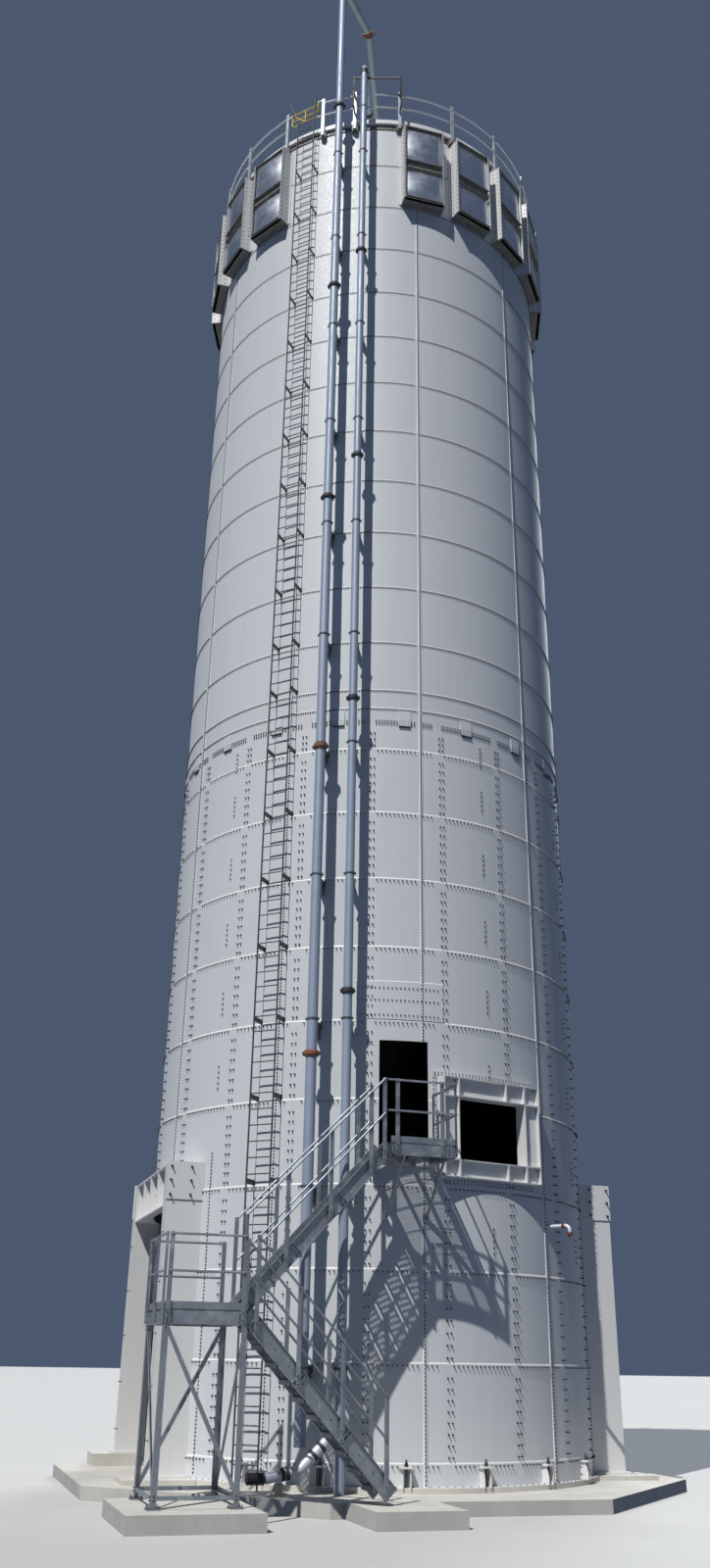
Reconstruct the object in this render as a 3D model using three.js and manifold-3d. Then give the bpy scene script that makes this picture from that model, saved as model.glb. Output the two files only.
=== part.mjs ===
// A bolted steel silo on a drive-through skirt, in millimetres, +Z up.
// The origin is on the silo's axis at ground level. X runs along the drive-through, and
// -Y is the side with the stair, the door and the ladder. Azimuths are in degrees, 0 at
// -Y and growing towards +X.

import * as THREE from "three";
import { mergeVertices } from "three/addons/utils/BufferGeometryUtils.js";
import Module from "manifold-3d";

const wasm = await Module();
wasm.setup();

// Clearance between pieces that rest on one another along slanted or curved faces
const GAP = 0.3;

// Shell
const R = 4665;
const FACETS = 60;
const WALL = 25;
const FLAT_R = R * Math.cos(Math.PI / FACETS);

// Heights above the ground
const SLAB_TOP = 220;
const BASE = 300;
const SKIRT_LOW_TOP = BASE + 4970;
const SKIRT_MID_TOP = BASE + 8100;
const COMPRESSION_LOW = BASE + 14750;
const COMPRESSION_TOP = BASE + 15100;
const VENT_BAND_LOW = BASE + 30300;
const RIM = BASE + 33650;
const EAVE_TOP = BASE + 33990;

// Azimuths where the wall's segments meet
const PORTAL_AZ = 66;
const DOOR_BAY = [-18, -2];
const FRAME_BAY = [-2, 30];
const MID_BACK = [114, 246];
const QUARTERS = [6, 96, 186, 276, 366];

// Foundation
const SLAB_APOTHEM = 6000;
const BLOCK_TOP = 250;
const TOWER_BLOCK = { x: [-5940, -3880], y: [-7500, -5060] };
const FOOT_BLOCK = { x: [-2250, -780], y: [-7600, -6060] };
const KERB = { x: [-5300, 5300], y: [1750, 2650], top: BASE + 150 };
const GROUT = { inner: R - 200, outer: R + 120 };

// Anchor chairs and base angle
const CHAIR = { first: -9, step: 18, wide: 150, out: 150, high: 330, plate: 15 };
const FOOT_AZ = 60;

// Drive-through and its portals
const DRIVE_HALF = 1830;
const PORTAL_HALF = 2200;
const PORTAL_BACK = 3900;
const PORTAL_OUT = 4820;
const PORTAL_TOP = BASE + 5500;
const HEADER_LOW = BASE + 4700;
const PORTAL_PLATE = 30;
const HEADER_BAYS = 4;

// Doorway into the room over the drive-through
const FLOOR_TOP = BASE + 5560;
const FLOOR_THICK = 120;
const FLOOR_HOLE = 300;
const DOOR = { az: -9.2, width: 930, low: FLOOR_TOP + 20, top: BASE + 7720 };

// Framed equipment opening beside the door
const FRAME = { az: 13.4, half: 1150, low: BASE + 5180, top: BASE + 7070, out: 100, back: 200 };
const FRAME_INNER = { half: 800, low: BASE + 5510, top: BASE + 6700, mullion: 350 };
const FRAME_FLANGE = 16;
const FRAME_POCKET = 90;

// Hopper
const HOPPER = { low: BASE + 7200, throat: 280, wall: 30, seat: R - 170 };

// Vents round the top
const VENT = { half: 575, low: BASE + 30450, top: BASE + 33500, out: 330, first: -3, step: 18 };
const VENT_PANELS = [
  [BASE + 30750, BASE + 31870],
  [BASE + 32150, BASE + 33380],
];
const VENT_SKIPPED = [-39, -21];

// Stair
const LOWER_Y = [-6850, -6120];
const UPPER_Y = [-6000, -5270];
const LANDING = { x: [-5500, -4170], y: [-6880, -5240], top: BASE + 2680 };
const PLATFORM = { x: [-1490, -130], y: [-6000, -4300], top: FLOOR_TOP };
const DECK = 40;
const CHANNEL = { deep: 220, wide: 75 };
const TOE = { high: 100, thick: 8 };
const LEG = 90;
const BRACE = { wide: 8, deep: 60 };
const RAIL = { bar: 50, heights: [550, 1100], below: 200 };
const STRINGER = { thick: 40, above: 30, below: 220 };
const TREAD = { thick: 40, lap: 25 };
const LOWER_RISERS = 11;
const UPPER_RISERS = 12;
const LOWER_RUN = 2600;

// Ladder
const LADDER = { az: [-45.5, -39.5], r: R + 300, rung: 304.8, rail: 50, top: BASE + 35250 };
const LADDER_TIPS = [-49.1, -39];

// Fill and vent pipes on the wall
const BIG = { az: -30.1, r: R + 530, radius: 97, low: BASE + 620, top: BASE + 39300, bend: 300 };
const SMALL = { az: -22.5, r: R + 530, radius: 84, low: SLAB_TOP, top: BASE + 35680, bend: 300 };
const COUPLING = { grow: 1.28, high: 150 };
const BIG_COUPLINGS = [7285, 13885, 20465, 27185, 33965];
const SMALL_COUPLINGS = [8505, 15025, 21635, 28325];
const STRAP = { high: 60, beyond: 20, arm: 70 };
const STRAPS = [1920, 4970, 8100, 11100, 14100, 16820, 19860, 22900, 25970, 29040, 32200];

// Roof
const ROOF = { slope: 0.1814, edge: R + 60, thick: 40, collar: 260, collarHigh: 90 };
const ROOF_STUB = { r: 600, radius: 130, high: 80 };
const EAVE_FLANGE = R + 80;
const GUARD = { r: R + 125, rails: [990, 460], top: 1230, wide: 90, out: R + 152, low: RIM - 80 };
const GUARD_RUNS = [
  { az: [-37.7, 59.3], posts: [-37.2, -26, -10.7, 9.3, 29.3, 49.3] },
  { az: [59.3, 139.3], posts: [69.3, 89.3, 109.3, 129.3] },
  { az: [139.3, 219.3], posts: [149.3, 169.3, 189.3, 209.3] },
  { az: [219.3, 309.3], posts: [229.3, 249.3, 269.3, 289.3, 308.8] },
];

// Gate in the guard rail at the head of the ladder
const GATE = { hinge: -39.1, tip: -49.3, low: 420, top: 1040, deep: 36, bars: [470, 730, 990] };
const GATE_LUG = { thick: 12, clear: 0.4 };

// Frame over the eave that steadies the small pipe
const PIPE_FRAME = { r: R + 420, z: [BASE + 35270, BASE + 35370], arms: [180, 860], foot: 150, beam: 30 };

const rad = (deg) => (deg * Math.PI) / 180;

// A point at an azimuth, a distance from the axis and a height
const at = (az, r, z) => new THREE.Vector3(r * Math.sin(rad(az)), -r * Math.cos(rad(az)), z);

const raised = (p, z) => new THREE.Vector3(p.x, p.y, p.z + z);

// The roof's upper face at a distance from the axis
const roofAt = (r) => EAVE_TOP + ROOF.slope * (ROOF.edge - r);

// A polyline as a curve whose even steps fall on its knots
class KnotPath extends THREE.Curve {
  constructor(knots) {
    super();
    this.knots = knots;
  }

  getPoint(t, target = new THREE.Vector3()) {
    const last = this.knots.length - 1;
    const place = Math.min(Math.max(t, 0), 1) * last;
    const i = Math.min(Math.floor(place), last - 1);
    return target.lerpVectors(this.knots[i], this.knots[i + 1], place - i);
  }

  // Halfway between the directions of the stretches that meet at a knot
  getTangent(t, target = new THREE.Vector3()) {
    const last = this.knots.length - 1;
    const i = Math.round(t * last);
    const stretch = (k) => this.knots[k + 1].clone().sub(this.knots[k]).normalize();
    return target.addVectors(stretch(Math.max(i - 1, 0)), stretch(Math.min(i, last - 1))).normalize();
  }

  getUtoTmapping(u) {
    return u;
  }
}

// Manifold solid from a closed three.js geometry
function solid(geometry) {
  const bare = geometry.clone();
  bare.deleteAttribute("normal");
  bare.deleteAttribute("uv");
  const merged = mergeVertices(bare, 1e-3);
  const mesh = new wasm.Mesh({
    numProp: 3,
    vertProperties: new Float32Array(merged.attributes.position.array),
    triVerts: new Uint32Array(merged.index.array),
  });
  return new wasm.Manifold(mesh);
}

const joined = (solids) => solids.reduce((sum, next) => sum.add(next));

function box(x, y, z) {
  const geometry = new THREE.BoxGeometry(x[1] - x[0], y[1] - y[0], z[1] - z[0]);
  geometry.translate((x[0] + x[1]) / 2, (y[0] + y[1]) / 2, (z[0] + z[1]) / 2);
  return solid(geometry);
}

// A box in the local frame of an azimuth: across, out from the axis, up
function boxAt(az, across, out, z) {
  const geometry = new THREE.BoxGeometry(across[1] - across[0], out[1] - out[0], z[1] - z[0]);
  geometry.translate((across[0] + across[1]) / 2, -(out[0] + out[1]) / 2, (z[0] + z[1]) / 2);
  geometry.rotateZ(rad(az));
  return solid(geometry);
}

// A cone or prism with a corner at every 6 degrees of azimuth
function frustum(rLow, rTop, zLow, zTop, sides = FACETS) {
  const geometry = new THREE.CylinderGeometry(rTop, rLow, zTop - zLow, sides);
  geometry.rotateX(Math.PI / 2);
  geometry.translate(0, 0, (zLow + zTop) / 2);
  return solid(geometry);
}

const prism = (r, zLow, zTop, sides) => frustum(r, r, zLow, zTop, sides);

function ring(rIn, rOut, zLow, zTop) {
  return prism(rOut, zLow, zTop).subtract(prism(rIn, zLow - 10, zTop + 10));
}

// The space between two azimuths, less half a clearance at each side
function wedge(az0, az1, zLow, zTop) {
  const clear = (GAP / 2 / R) * (180 / Math.PI);
  const reach = 9000;
  const shape = new THREE.Shape();
  const steps = Math.ceil((az1 - az0) / 45);
  shape.moveTo(0, 0);
  for (let i = 0; i <= steps; i += 1) {
    const p = at(az0 + clear + ((az1 - az0 - 2 * clear) * i) / steps, reach, 0);
    shape.lineTo(p.x, p.y);
  }
  const geometry = new THREE.ExtrudeGeometry(shape, { depth: zTop - zLow + 200, bevelEnabled: false });
  geometry.translate(0, 0, zLow - 100);
  return solid(geometry);
}

const sector = (rIn, rOut, az0, az1, zLow, zTop) =>
  ring(rIn, rOut, zLow, zTop).intersect(wedge(az0, az1, zLow, zTop));

// An outline in x and z, extruded between two values of y
function slab(points, y) {
  const shape = new THREE.Shape(points.map(([x, z]) => new THREE.Vector2(x, z)));
  const geometry = new THREE.ExtrudeGeometry(shape, { depth: y[1] - y[0], bevelEnabled: false });
  geometry.rotateX(Math.PI / 2);
  geometry.translate(0, y[1], 0);
  return solid(geometry);
}

// A straight bar of rectangular section between two points, its height kept upright
function bar(from, to, wide, deep) {
  const along = to.clone().sub(from);
  const length = along.length();
  along.normalize();
  const up = Math.abs(along.z) > 0.99 ? new THREE.Vector3(1, 0, 0) : new THREE.Vector3(0, 0, 1);
  const side = new THREE.Vector3().crossVectors(up, along).normalize();
  const high = new THREE.Vector3().crossVectors(along, side).normalize();
  const geometry = new THREE.BoxGeometry(wide, deep, length);
  geometry.applyMatrix4(new THREE.Matrix4().makeBasis(side, high, along));
  const mid = from.clone().add(to).multiplyScalar(0.5);
  geometry.translate(mid.x, mid.y, mid.z);
  return solid(geometry);
}

function uprightRound(centre, radius, zLow, zTop, sides = 12) {
  const geometry = new THREE.CylinderGeometry(radius, radius, zTop - zLow, sides);
  geometry.rotateX(Math.PI / 2);
  geometry.translate(centre.x, centre.y, (zLow + zTop) / 2);
  return solid(geometry);
}

// A route's corners rounded to a bend radius
function rounded(corners, bend, steps = 5) {
  const knots = [corners[0]];
  for (let i = 1; i + 1 < corners.length; i += 1) {
    const before = corners[i].clone().sub(corners[i - 1]).normalize();
    const after = corners[i + 1].clone().sub(corners[i]).normalize();
    const turn = before.angleTo(after);
    const side = after.clone().addScaledVector(before, -before.dot(after)).normalize();
    const start = corners[i].clone().addScaledVector(before, -bend * Math.tan(turn / 2));
    for (let k = 0; k <= steps; k += 1) {
      const angle = (turn * k) / steps;
      const knot = start.clone().addScaledVector(before, bend * Math.sin(angle));
      knots.push(knot.addScaledVector(side, bend * (1 - Math.cos(angle))));
    }
  }
  knots.push(corners[corners.length - 1]);
  return knots;
}

// A round bar through a route's knots
function tube(knots, radius, sides = 12) {
  const section = new THREE.Shape();
  for (let i = 0; i < sides; i += 1) {
    const turn = (2 * Math.PI * i) / sides;
    const p = [radius * Math.cos(turn), radius * Math.sin(turn)];
    if (i === 0) section.moveTo(...p);
    else section.lineTo(...p);
  }
  const extrudePath = new KnotPath(knots);
  const options = { steps: knots.length - 1, extrudePath, bevelEnabled: false };
  return solid(new THREE.ExtrudeGeometry(section, options));
}

// A flat railing along a walkway's edge, with posts at shares of its length
function railing(from, to, shares, below = RAIL.below) {
  const half = RAIL.bar / 2;
  const parts = RAIL.heights.map((high) => bar(raised(from, high), raised(to, high), RAIL.bar, RAIL.bar));
  for (const share of shares) {
    const p = from.clone().lerp(to, share);
    const z = [p.z - below, p.z + RAIL.heights[1]];
    parts.push(box([p.x - half, p.x + half], [p.y - half, p.y + half], z));
  }
  return joined(parts);
}

// What lies outside the shell, with a clearance to it
const shellCore = prism(R + 1.1 * GAP, -500, EAVE_TOP + 3000);
const outside = (piece) => piece.subtract(shellCore);

const group = new THREE.Group();

function material(color, roughness, metalness) {
  return new THREE.MeshStandardMaterial({ color, roughness, metalness });
}
const paintedSteel = () => material(0xd9dad6, 0.55, 0.1);
const galvanised = () => material(0x9aa3ab, 0.45, 0.8);
const concrete = () => material(0xc9c5ba, 0.9, 0);
const pipeSteel = () => material(0xb9c2cb, 0.4, 0.6);
const gateYellow = () => material(0xd9c62a, 0.5, 0.1);
const valveRed = () => material(0xb8402f, 0.5, 0.2);

function addPiece(name, piece, finish) {
  const { vertProperties, triVerts } = piece.getMesh();
  const geometry = new THREE.BufferGeometry();
  geometry.setAttribute("position", new THREE.BufferAttribute(new Float32Array(vertProperties), 3));
  geometry.setIndex(new THREE.BufferAttribute(new Uint32Array(triVerts), 1));
  geometry.computeVertexNormals();
  const mesh = new THREE.Mesh(geometry, finish);
  mesh.name = name;
  group.add(mesh);
}

// Foundation

// The octagonal slab, the grout curb under the skirt, and the kerb and pads of the portals
function plinthSlab() {
  const corner = SLAB_APOTHEM / Math.cos(Math.PI / 8);
  const geometry = new THREE.CylinderGeometry(corner, corner, SLAB_TOP, 8);
  geometry.rotateX(Math.PI / 2);
  geometry.rotateZ(Math.PI / 8);
  geometry.translate(0, 0, SLAB_TOP / 2);
  const low = SLAB_TOP - 50;
  const drive = box([-6500, 6500], [-DRIVE_HALF, DRIVE_HALF], [SLAB_TOP, BASE + 50]);
  const grout = ring(GROUT.inner, GROUT.outer, low, BASE).subtract(drive);
  const kerb = box(KERB.x, KERB.y, [low, KERB.top]).subtract(prism(R + 200, 0, BASE + 500));
  const seats = box(KERB.x, [KERB.y[0], PORTAL_HALF + 110], [low, KERB.top]);
  const pads = [-1, 1].map((side) => {
    const x = side < 0 ? [KERB.x[0], -4000] : [4000, KERB.x[1]];
    return box(x, [-2650, -KERB.y[0]], [low, BASE]);
  });
  return joined([solid(geometry), grout, kerb, outside(seats), ...pads]);
}

// Skirt

const wallStrip = (az0, az1, zLow, zTop) => sector(R - WALL, R, az0, az1, zLow, zTop);

// The base angle and its anchor chairs, bolted round the foot of the skirt
function anchorChairs(az0, az1) {
  const parts = [sector(R - 1, R + 110, az0, az1, BASE, BASE + 14)];
  const half = CHAIR.wide / 2;
  const top = BASE + CHAIR.high;
  for (let az = CHAIR.first - 3 * CHAIR.step; az < az1 - 8; az += CHAIR.step) {
    if (az < az0 + 8) continue;
    for (const across of [-half, half - CHAIR.plate]) {
      parts.push(boxAt(az, [across, across + CHAIR.plate], [R - 15, R + CHAIR.out], [BASE, top - 20]));
    }
    parts.push(boxAt(az, [-half - 35, half + 35], [R - 15, R + CHAIR.out + 15], [top - 30, top]));
  }
  return joined(parts);
}

function skirtFront() {
  const wall = wallStrip(-PORTAL_AZ, PORTAL_AZ, BASE, SKIRT_LOW_TOP);
  return wall.add(anchorChairs(-FOOT_AZ, FOOT_AZ));
}

function skirtBack() {
  const wall = wallStrip(...MID_BACK, BASE, SKIRT_LOW_TOP);
  return wall.add(anchorChairs(180 - FOOT_AZ, 180 + FOOT_AZ));
}

// A wall beside the door or the framed opening, which also closes the ring over one portal
function skirtMidSide(az, overPortal) {
  const wall = wallStrip(...az, SKIRT_LOW_TOP, SKIRT_MID_TOP);
  return wall.add(wallStrip(...overPortal, HEADER_LOW, SKIRT_LOW_TOP + 1));
}

function doorBay() {
  const half = DOOR.width / 2;
  const cut = boxAt(DOOR.az, [-half, half], [R - 600, R + 400], [DOOR.low, DOOR.top]);
  return wallStrip(...DOOR_BAY, SKIRT_LOW_TOP, SKIRT_MID_TOP).subtract(cut);
}

// The outside of the framed opening, grown by a clearance
function frameBlock(grow) {
  const half = FRAME.half + grow;
  const z = [FRAME.low - grow, FRAME.top + grow];
  return boxAt(FRAME.az, [-half, half], [FLAT_R - FRAME.back - grow, FLAT_R + FRAME.out + grow], z);
}

const frameBay = () => wallStrip(...FRAME_BAY, SKIRT_LOW_TOP, SKIRT_MID_TOP).subtract(frameBlock(GAP));

// Its beams and posts are webs set back between flanges
function openingFrame() {
  const out = FLAT_R + FRAME.out;
  const inner = [-FRAME_INNER.half, FRAME_INNER.half];
  const innerZ = [FRAME_INNER.low, FRAME_INNER.top];
  const pockets = [];
  const stops = [-FRAME.half, inner[0], FRAME_INNER.mullion, inner[1], FRAME.half];
  for (const z of [[FRAME.low, innerZ[0]], [innerZ[1], FRAME.top]]) {
    for (let i = 0; i + 1 < stops.length; i += 1) pockets.push({ x: [stops[i], stops[i + 1]], z });
  }
  pockets.push({ x: [-FRAME.half, inner[0]], z: innerZ });
  pockets.push({ x: [inner[1], FRAME.half], z: innerZ });
  let frame = frameBlock(0).subtract(boxAt(FRAME.az, inner, [R - 600, R + 400], innerZ));
  for (const { x, z } of pockets) {
    const across = [x[0] + FRAME_FLANGE, x[1] - FRAME_FLANGE];
    const high = [z[0] + FRAME_FLANGE, z[1] - FRAME_FLANGE];
    frame = frame.subtract(boxAt(FRAME.az, across, [out - FRAME_POCKET, out + 50], high));
  }
  return frame;
}

// The room's floor, with the round hole that the product falls through
function equipmentFloor() {
  const low = FLOOR_TOP - FLOOR_THICK;
  const floor = prism(R - WALL - 1.1 * GAP, low, FLOOR_TOP);
  const hole = prism(FLOOR_HOLE, low - 10, FLOOR_TOP + 10, 16);
  return floor.subtract(hole).subtract(frameBlock(GAP));
}

// Portals

// One end of the drive-through: two box columns and the stiffened header between them
function portal(side) {
  const xs = (a, b) => (side > 0 ? [a, b] : [-b, -a]);
  const ys = (end, a, b) => (end > 0 ? [a, b] : [-b, -a]);
  const parts = [];
  const header = [HEADER_LOW, PORTAL_TOP];
  parts.push(box(xs(PORTAL_BACK, PORTAL_OUT), [-DRIVE_HALF - 5, DRIVE_HALF + 5], header));
  for (const end of [-1, 1]) {
    const foot = end > 0 ? KERB.top : BASE;
    const columnY = ys(end, DRIVE_HALF, PORTAL_HALF);
    parts.push(box(xs(PORTAL_BACK, PORTAL_OUT), columnY, [foot, PORTAL_TOP]));
    const baseY = ys(end, DRIVE_HALF - 60, PORTAL_HALF + 90);
    parts.push(box(xs(PORTAL_BACK, PORTAL_OUT + 80), baseY, [foot, foot + 40]));
    const plateY = ys(end, PORTAL_HALF - 5, PORTAL_HALF + 20);
    parts.push(box(xs(PORTAL_BACK, PORTAL_OUT + 15), plateY, [PORTAL_TOP - 690, PORTAL_TOP + 30]));
  }
  let whole = outside(joined(parts));
  const bay = (2 * DRIVE_HALF) / HEADER_BAYS;
  const z = [HEADER_LOW + PORTAL_PLATE, PORTAL_TOP - PORTAL_PLATE];
  for (let i = 0; i < HEADER_BAYS; i += 1) {
    const y = -DRIVE_HALF + i * bay;
    const pocketY = [y + PORTAL_PLATE / 2, y + bay - PORTAL_PLATE / 2];
    whole = whole.subtract(box(xs(PORTAL_OUT - 130, PORTAL_OUT + 50), pocketY, z));
  }
  return whole;
}

// Vessel

const compressionRing = () => ring(HOPPER.seat, R + 40, COMPRESSION_LOW, COMPRESSION_TOP);

// The hopper hangs in the compression ring and ends over the floor's hole
function hopperCone() {
  const top = HOPPER.seat - 1.1 * GAP;
  const outer = frustum(HOPPER.throat + HOPPER.wall, top, HOPPER.low, COMPRESSION_TOP);
  const inner = frustum(HOPPER.throat, top - HOPPER.wall, HOPPER.low - 1, COMPRESSION_TOP + 1);
  return outer.subtract(inner);
}

function ventBox(az) {
  const out = FLAT_R + VENT.out;
  const flange = 45;
  let piece = boxAt(az, [-VENT.half, VENT.half], [R - 250, out], [VENT.low, VENT.top]);
  piece = piece.subtract(prism(R - 10, VENT.low - 50, VENT.top + 50));
  for (const z of VENT_PANELS) {
    piece = piece.subtract(boxAt(az, [-VENT.half + flange, VENT.half - flange], [out - 70, out + 50], z));
  }
  return piece;
}

function ventBand(az0, az1) {
  const parts = [wallStrip(az0, az1, VENT_BAND_LOW, RIM)];
  for (let az = VENT.first - 3 * VENT.step; az < az1; az += VENT.step) {
    const skipped = VENT_SKIPPED.includes(az) || VENT_SKIPPED.includes(az - 360);
    if (az > az0 && !skipped) parts.push(ventBox(az));
  }
  return joined(parts);
}

// Roof

// A cone of sheets that rests on the eave ring, with a collar and a stub for the pipes
function roofCone() {
  const under = (r) => roofAt(r) - ROOF.thick + GAP;
  const crown = roofAt(ROOF.collar) + ROOF.collarHigh;
  const profile = [
    [0, under(0)],
    [ROOF.edge, under(ROOF.edge)],
    [ROOF.edge, EAVE_TOP],
    [ROOF.collar, roofAt(ROOF.collar)],
    [ROOF.collar, crown],
    [0, crown],
  ];
  const geometry = new THREE.LatheGeometry(profile.map(([r, z]) => new THREE.Vector2(r, z)), FACETS);
  geometry.rotateX(Math.PI / 2);
  const top = roofAt(ROOF_STUB.r) + ROOF_STUB.high;
  const stub = uprightRound(at(SMALL.az, ROOF_STUB.r), ROOF_STUB.radius, top - 110, top);
  return solid(geometry).add(stub);
}

// The channel ring that the roof sheets and the guard rail posts are bolted to
function eaveRing() {
  const top = EAVE_TOP - ROOF.thick;
  return joined([
    ring(R - 60, R + 12, RIM, top),
    ring(R - 60, EAVE_FLANGE, top - 16, top),
  ]);
}

const eaveCore = prism(EAVE_FLANGE + 1.1 * GAP, RIM - 500, EAVE_TOP + 3000);

function guardRail({ az, posts }) {
  const parts = GUARD.rails.map((high) => {
    const z = EAVE_TOP + high;
    return sector(GUARD.r - 20, GUARD.r + 20, ...az, z - 20, z + 20);
  });
  for (const place of posts) {
    const post = boxAt(place, [-GUARD.wide / 2, GUARD.wide / 2], [R + 60, GUARD.out], [
      GUARD.low,
      EAVE_TOP + GUARD.top,
    ]);
    parts.push(post.subtract(eaveCore));
  }
  return joined(parts);
}

// Plates on the gate's post that carry its round hinge stile, above and below
function gateLugs() {
  const across = ((GATE.hinge - GUARD_RUNS[0].posts[0]) * Math.PI * GUARD.r) / 180;
  const reach = [across - 25, -GUARD.wide / 2 + 5];
  const low = EAVE_TOP + GATE.low - GATE_LUG.clear;
  const top = EAVE_TOP + GATE.top + GATE_LUG.clear;
  const out = [GUARD.r - 20, GUARD.r + 20];
  return joined([
    boxAt(GUARD_RUNS[0].posts[0], reach, out, [low - GATE_LUG.thick, low]),
    boxAt(GUARD_RUNS[0].posts[0], reach, out, [top, top + GATE_LUG.thick]),
  ]);
}

// The plate that the gate's free end rests against from inside
function gateStop() {
  const last = GUARD_RUNS[3].posts[4];
  const across = ((GATE.tip + 360 - last) * Math.PI * GUARD.r) / 180;
  const z = [EAVE_TOP + GATE.top - 200, EAVE_TOP + GATE.top - 140];
  return boxAt(last, [GUARD.wide / 2 - 5, across + 25], [GUARD.out - 1.5, GUARD.out + 6.5], z);
}

// The self-closing gate: a round stile on the hinge side, bars and a square stile
function roofGate() {
  const hinge = at(GATE.hinge, GUARD.r, EAVE_TOP);
  const tip = at(GATE.tip, GUARD.r, EAVE_TOP);
  const middle = hinge.clone().lerp(tip, 0.5);
  const parts = GATE.bars.map((high) => bar(raised(hinge, high), raised(tip, high), GATE.deep, 40));
  parts.push(uprightRound(hinge, 20, EAVE_TOP + GATE.low, EAVE_TOP + GATE.top));
  for (const p of [middle, tip]) {
    parts.push(uprightRound(p, 20, EAVE_TOP + GATE.bars[0] - 20, EAVE_TOP + GATE.bars[2] + 20, 8));
  }
  return joined(parts);
}

// The goalpost frame that steadies the small pipe, on arms from two guard rail posts
function roofPipeFrame() {
  const { r, z, arms, foot, beam } = PIPE_FRAME;
  const centre = at(SMALL.az, SMALL.r);
  const middle = (z[0] + z[1]) / 2;
  const ends = GUARD_RUNS[0].posts.slice(1, 3);
  const parts = [bar(at(ends[0], r, middle), at(ends[1], r, middle), beam, z[1] - z[0])];
  for (const az of ends) {
    parts.push(boxAt(az, [-25, 25], [r - 12, r + 18], [EAVE_TOP + foot, z[1]]));
    for (const high of arms) {
      const armZ = [EAVE_TOP + high, EAVE_TOP + high + 60];
      parts.push(boxAt(az, [-20, 20], [GUARD.out + GAP, r], armZ));
    }
  }
  parts.push(uprightRound(centre, SMALL.radius + 22, ...z));
  parts.push(boxAt(SMALL.az, [-40, 40], [r - 40, SMALL.r - SMALL.radius], z));
  return joined(parts).subtract(uprightRound(centre, SMALL.radius + 1.1 * GAP, z[0] - 50, z[1] + 50));
}

// Ladder and pipes

function ladder() {
  const feet = LADDER.az.map((az) => at(az, LADDER.r, 0));
  const half = feet[0].distanceTo(feet[1]) / 2;
  const middle = (LADDER.az[0] + LADDER.az[1]) / 2;
  const flare = EAVE_TOP + 350;
  const parts = [];
  feet.forEach((foot, i) => {
    const tip = at(LADDER_TIPS[i], LADDER.r, LADDER.top);
    const knee = raised(foot, flare);
    parts.push(bar(raised(foot, SLAB_TOP), knee, LADDER.rail, LADDER.rail));
    parts.push(bar(raised(knee, -20), tip, LADDER.rail, LADDER.rail));
  });
  for (let z = BASE + LADDER.rung; z < EAVE_TOP; z += LADDER.rung) {
    parts.push(bar(raised(feet[0], z), raised(feet[1], z), 26, 26));
  }
  for (let i = 0; i < STRAPS.length; i += 2) {
    const z = [BASE + STRAPS[i] + 60, BASE + STRAPS[i] + 130];
    for (const across of [-half, half]) {
      parts.push(boxAt(middle, [across - 8, across + 8], [R - 80, LADDER.r], z));
    }
  }
  return outside(joined(parts));
}

// The clamp round a pipe, on an arm from the ring seam behind it
function pipeStrap(pipe, top) {
  const across = pipe.radius + STRAP.beyond;
  const z = [top - STRAP.high, top];
  const arm = boxAt(pipe.az, [-STRAP.arm / 2, STRAP.arm / 2], [R - 60, pipe.r], z);
  return arm.add(boxAt(pipe.az, [-across, across], [pipe.r - across, pipe.r + 15], z));
}

const riserTop = (pipe) => pipe.top - pipe.bend;

function riser(pipe, couplings) {
  const centre = at(pipe.az, pipe.r);
  const parts = [uprightRound(centre, pipe.radius, pipe.low, riserTop(pipe))];
  for (const z of couplings) {
    parts.push(uprightRound(centre, pipe.radius * COUPLING.grow, BASE + z, BASE + z + COUPLING.high));
  }
  for (const z of STRAPS) parts.push(pipeStrap(pipe, BASE + z));
  return outside(joined(parts));
}

// From the top of a riser over the roof, and down onto its collar or stub
function roofRun(pipe, corners, end) {
  const start = at(pipe.az, pipe.r, riserTop(pipe) + GAP);
  const last = corners[corners.length - 1];
  const finish = new THREE.Vector3(last.x, last.y, end + GAP);
  const route = [start, at(pipe.az, pipe.r, pipe.top), ...corners, finish];
  return tube(rounded(route, pipe.bend - 20), pipe.radius);
}

// The big pipe's run, with a coupling where it turns towards the middle of the roof
function bigRoofRun() {
  const elbow = new THREE.Vector3(-1420, -3300, BIG.top);
  const corners = [elbow, new THREE.Vector3(0, 0, BIG.top)];
  const run = roofRun(BIG, corners, roofAt(ROOF.collar) + ROOF.collarHigh);
  const ahead = corners[1].clone().sub(at(BIG.az, BIG.r, BIG.top)).setLength(COUPLING.high / 2);
  const ends = [elbow.clone().sub(ahead), elbow.clone().add(ahead)];
  return joined([run, tube(ends, BIG.radius * COUPLING.grow)]);
}

function smallRoofRun() {
  const corners = [at(SMALL.az, ROOF_STUB.r, SMALL.top)];
  return roofRun(SMALL, corners, roofAt(ROOF_STUB.r) + ROOF_STUB.high);
}

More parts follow.
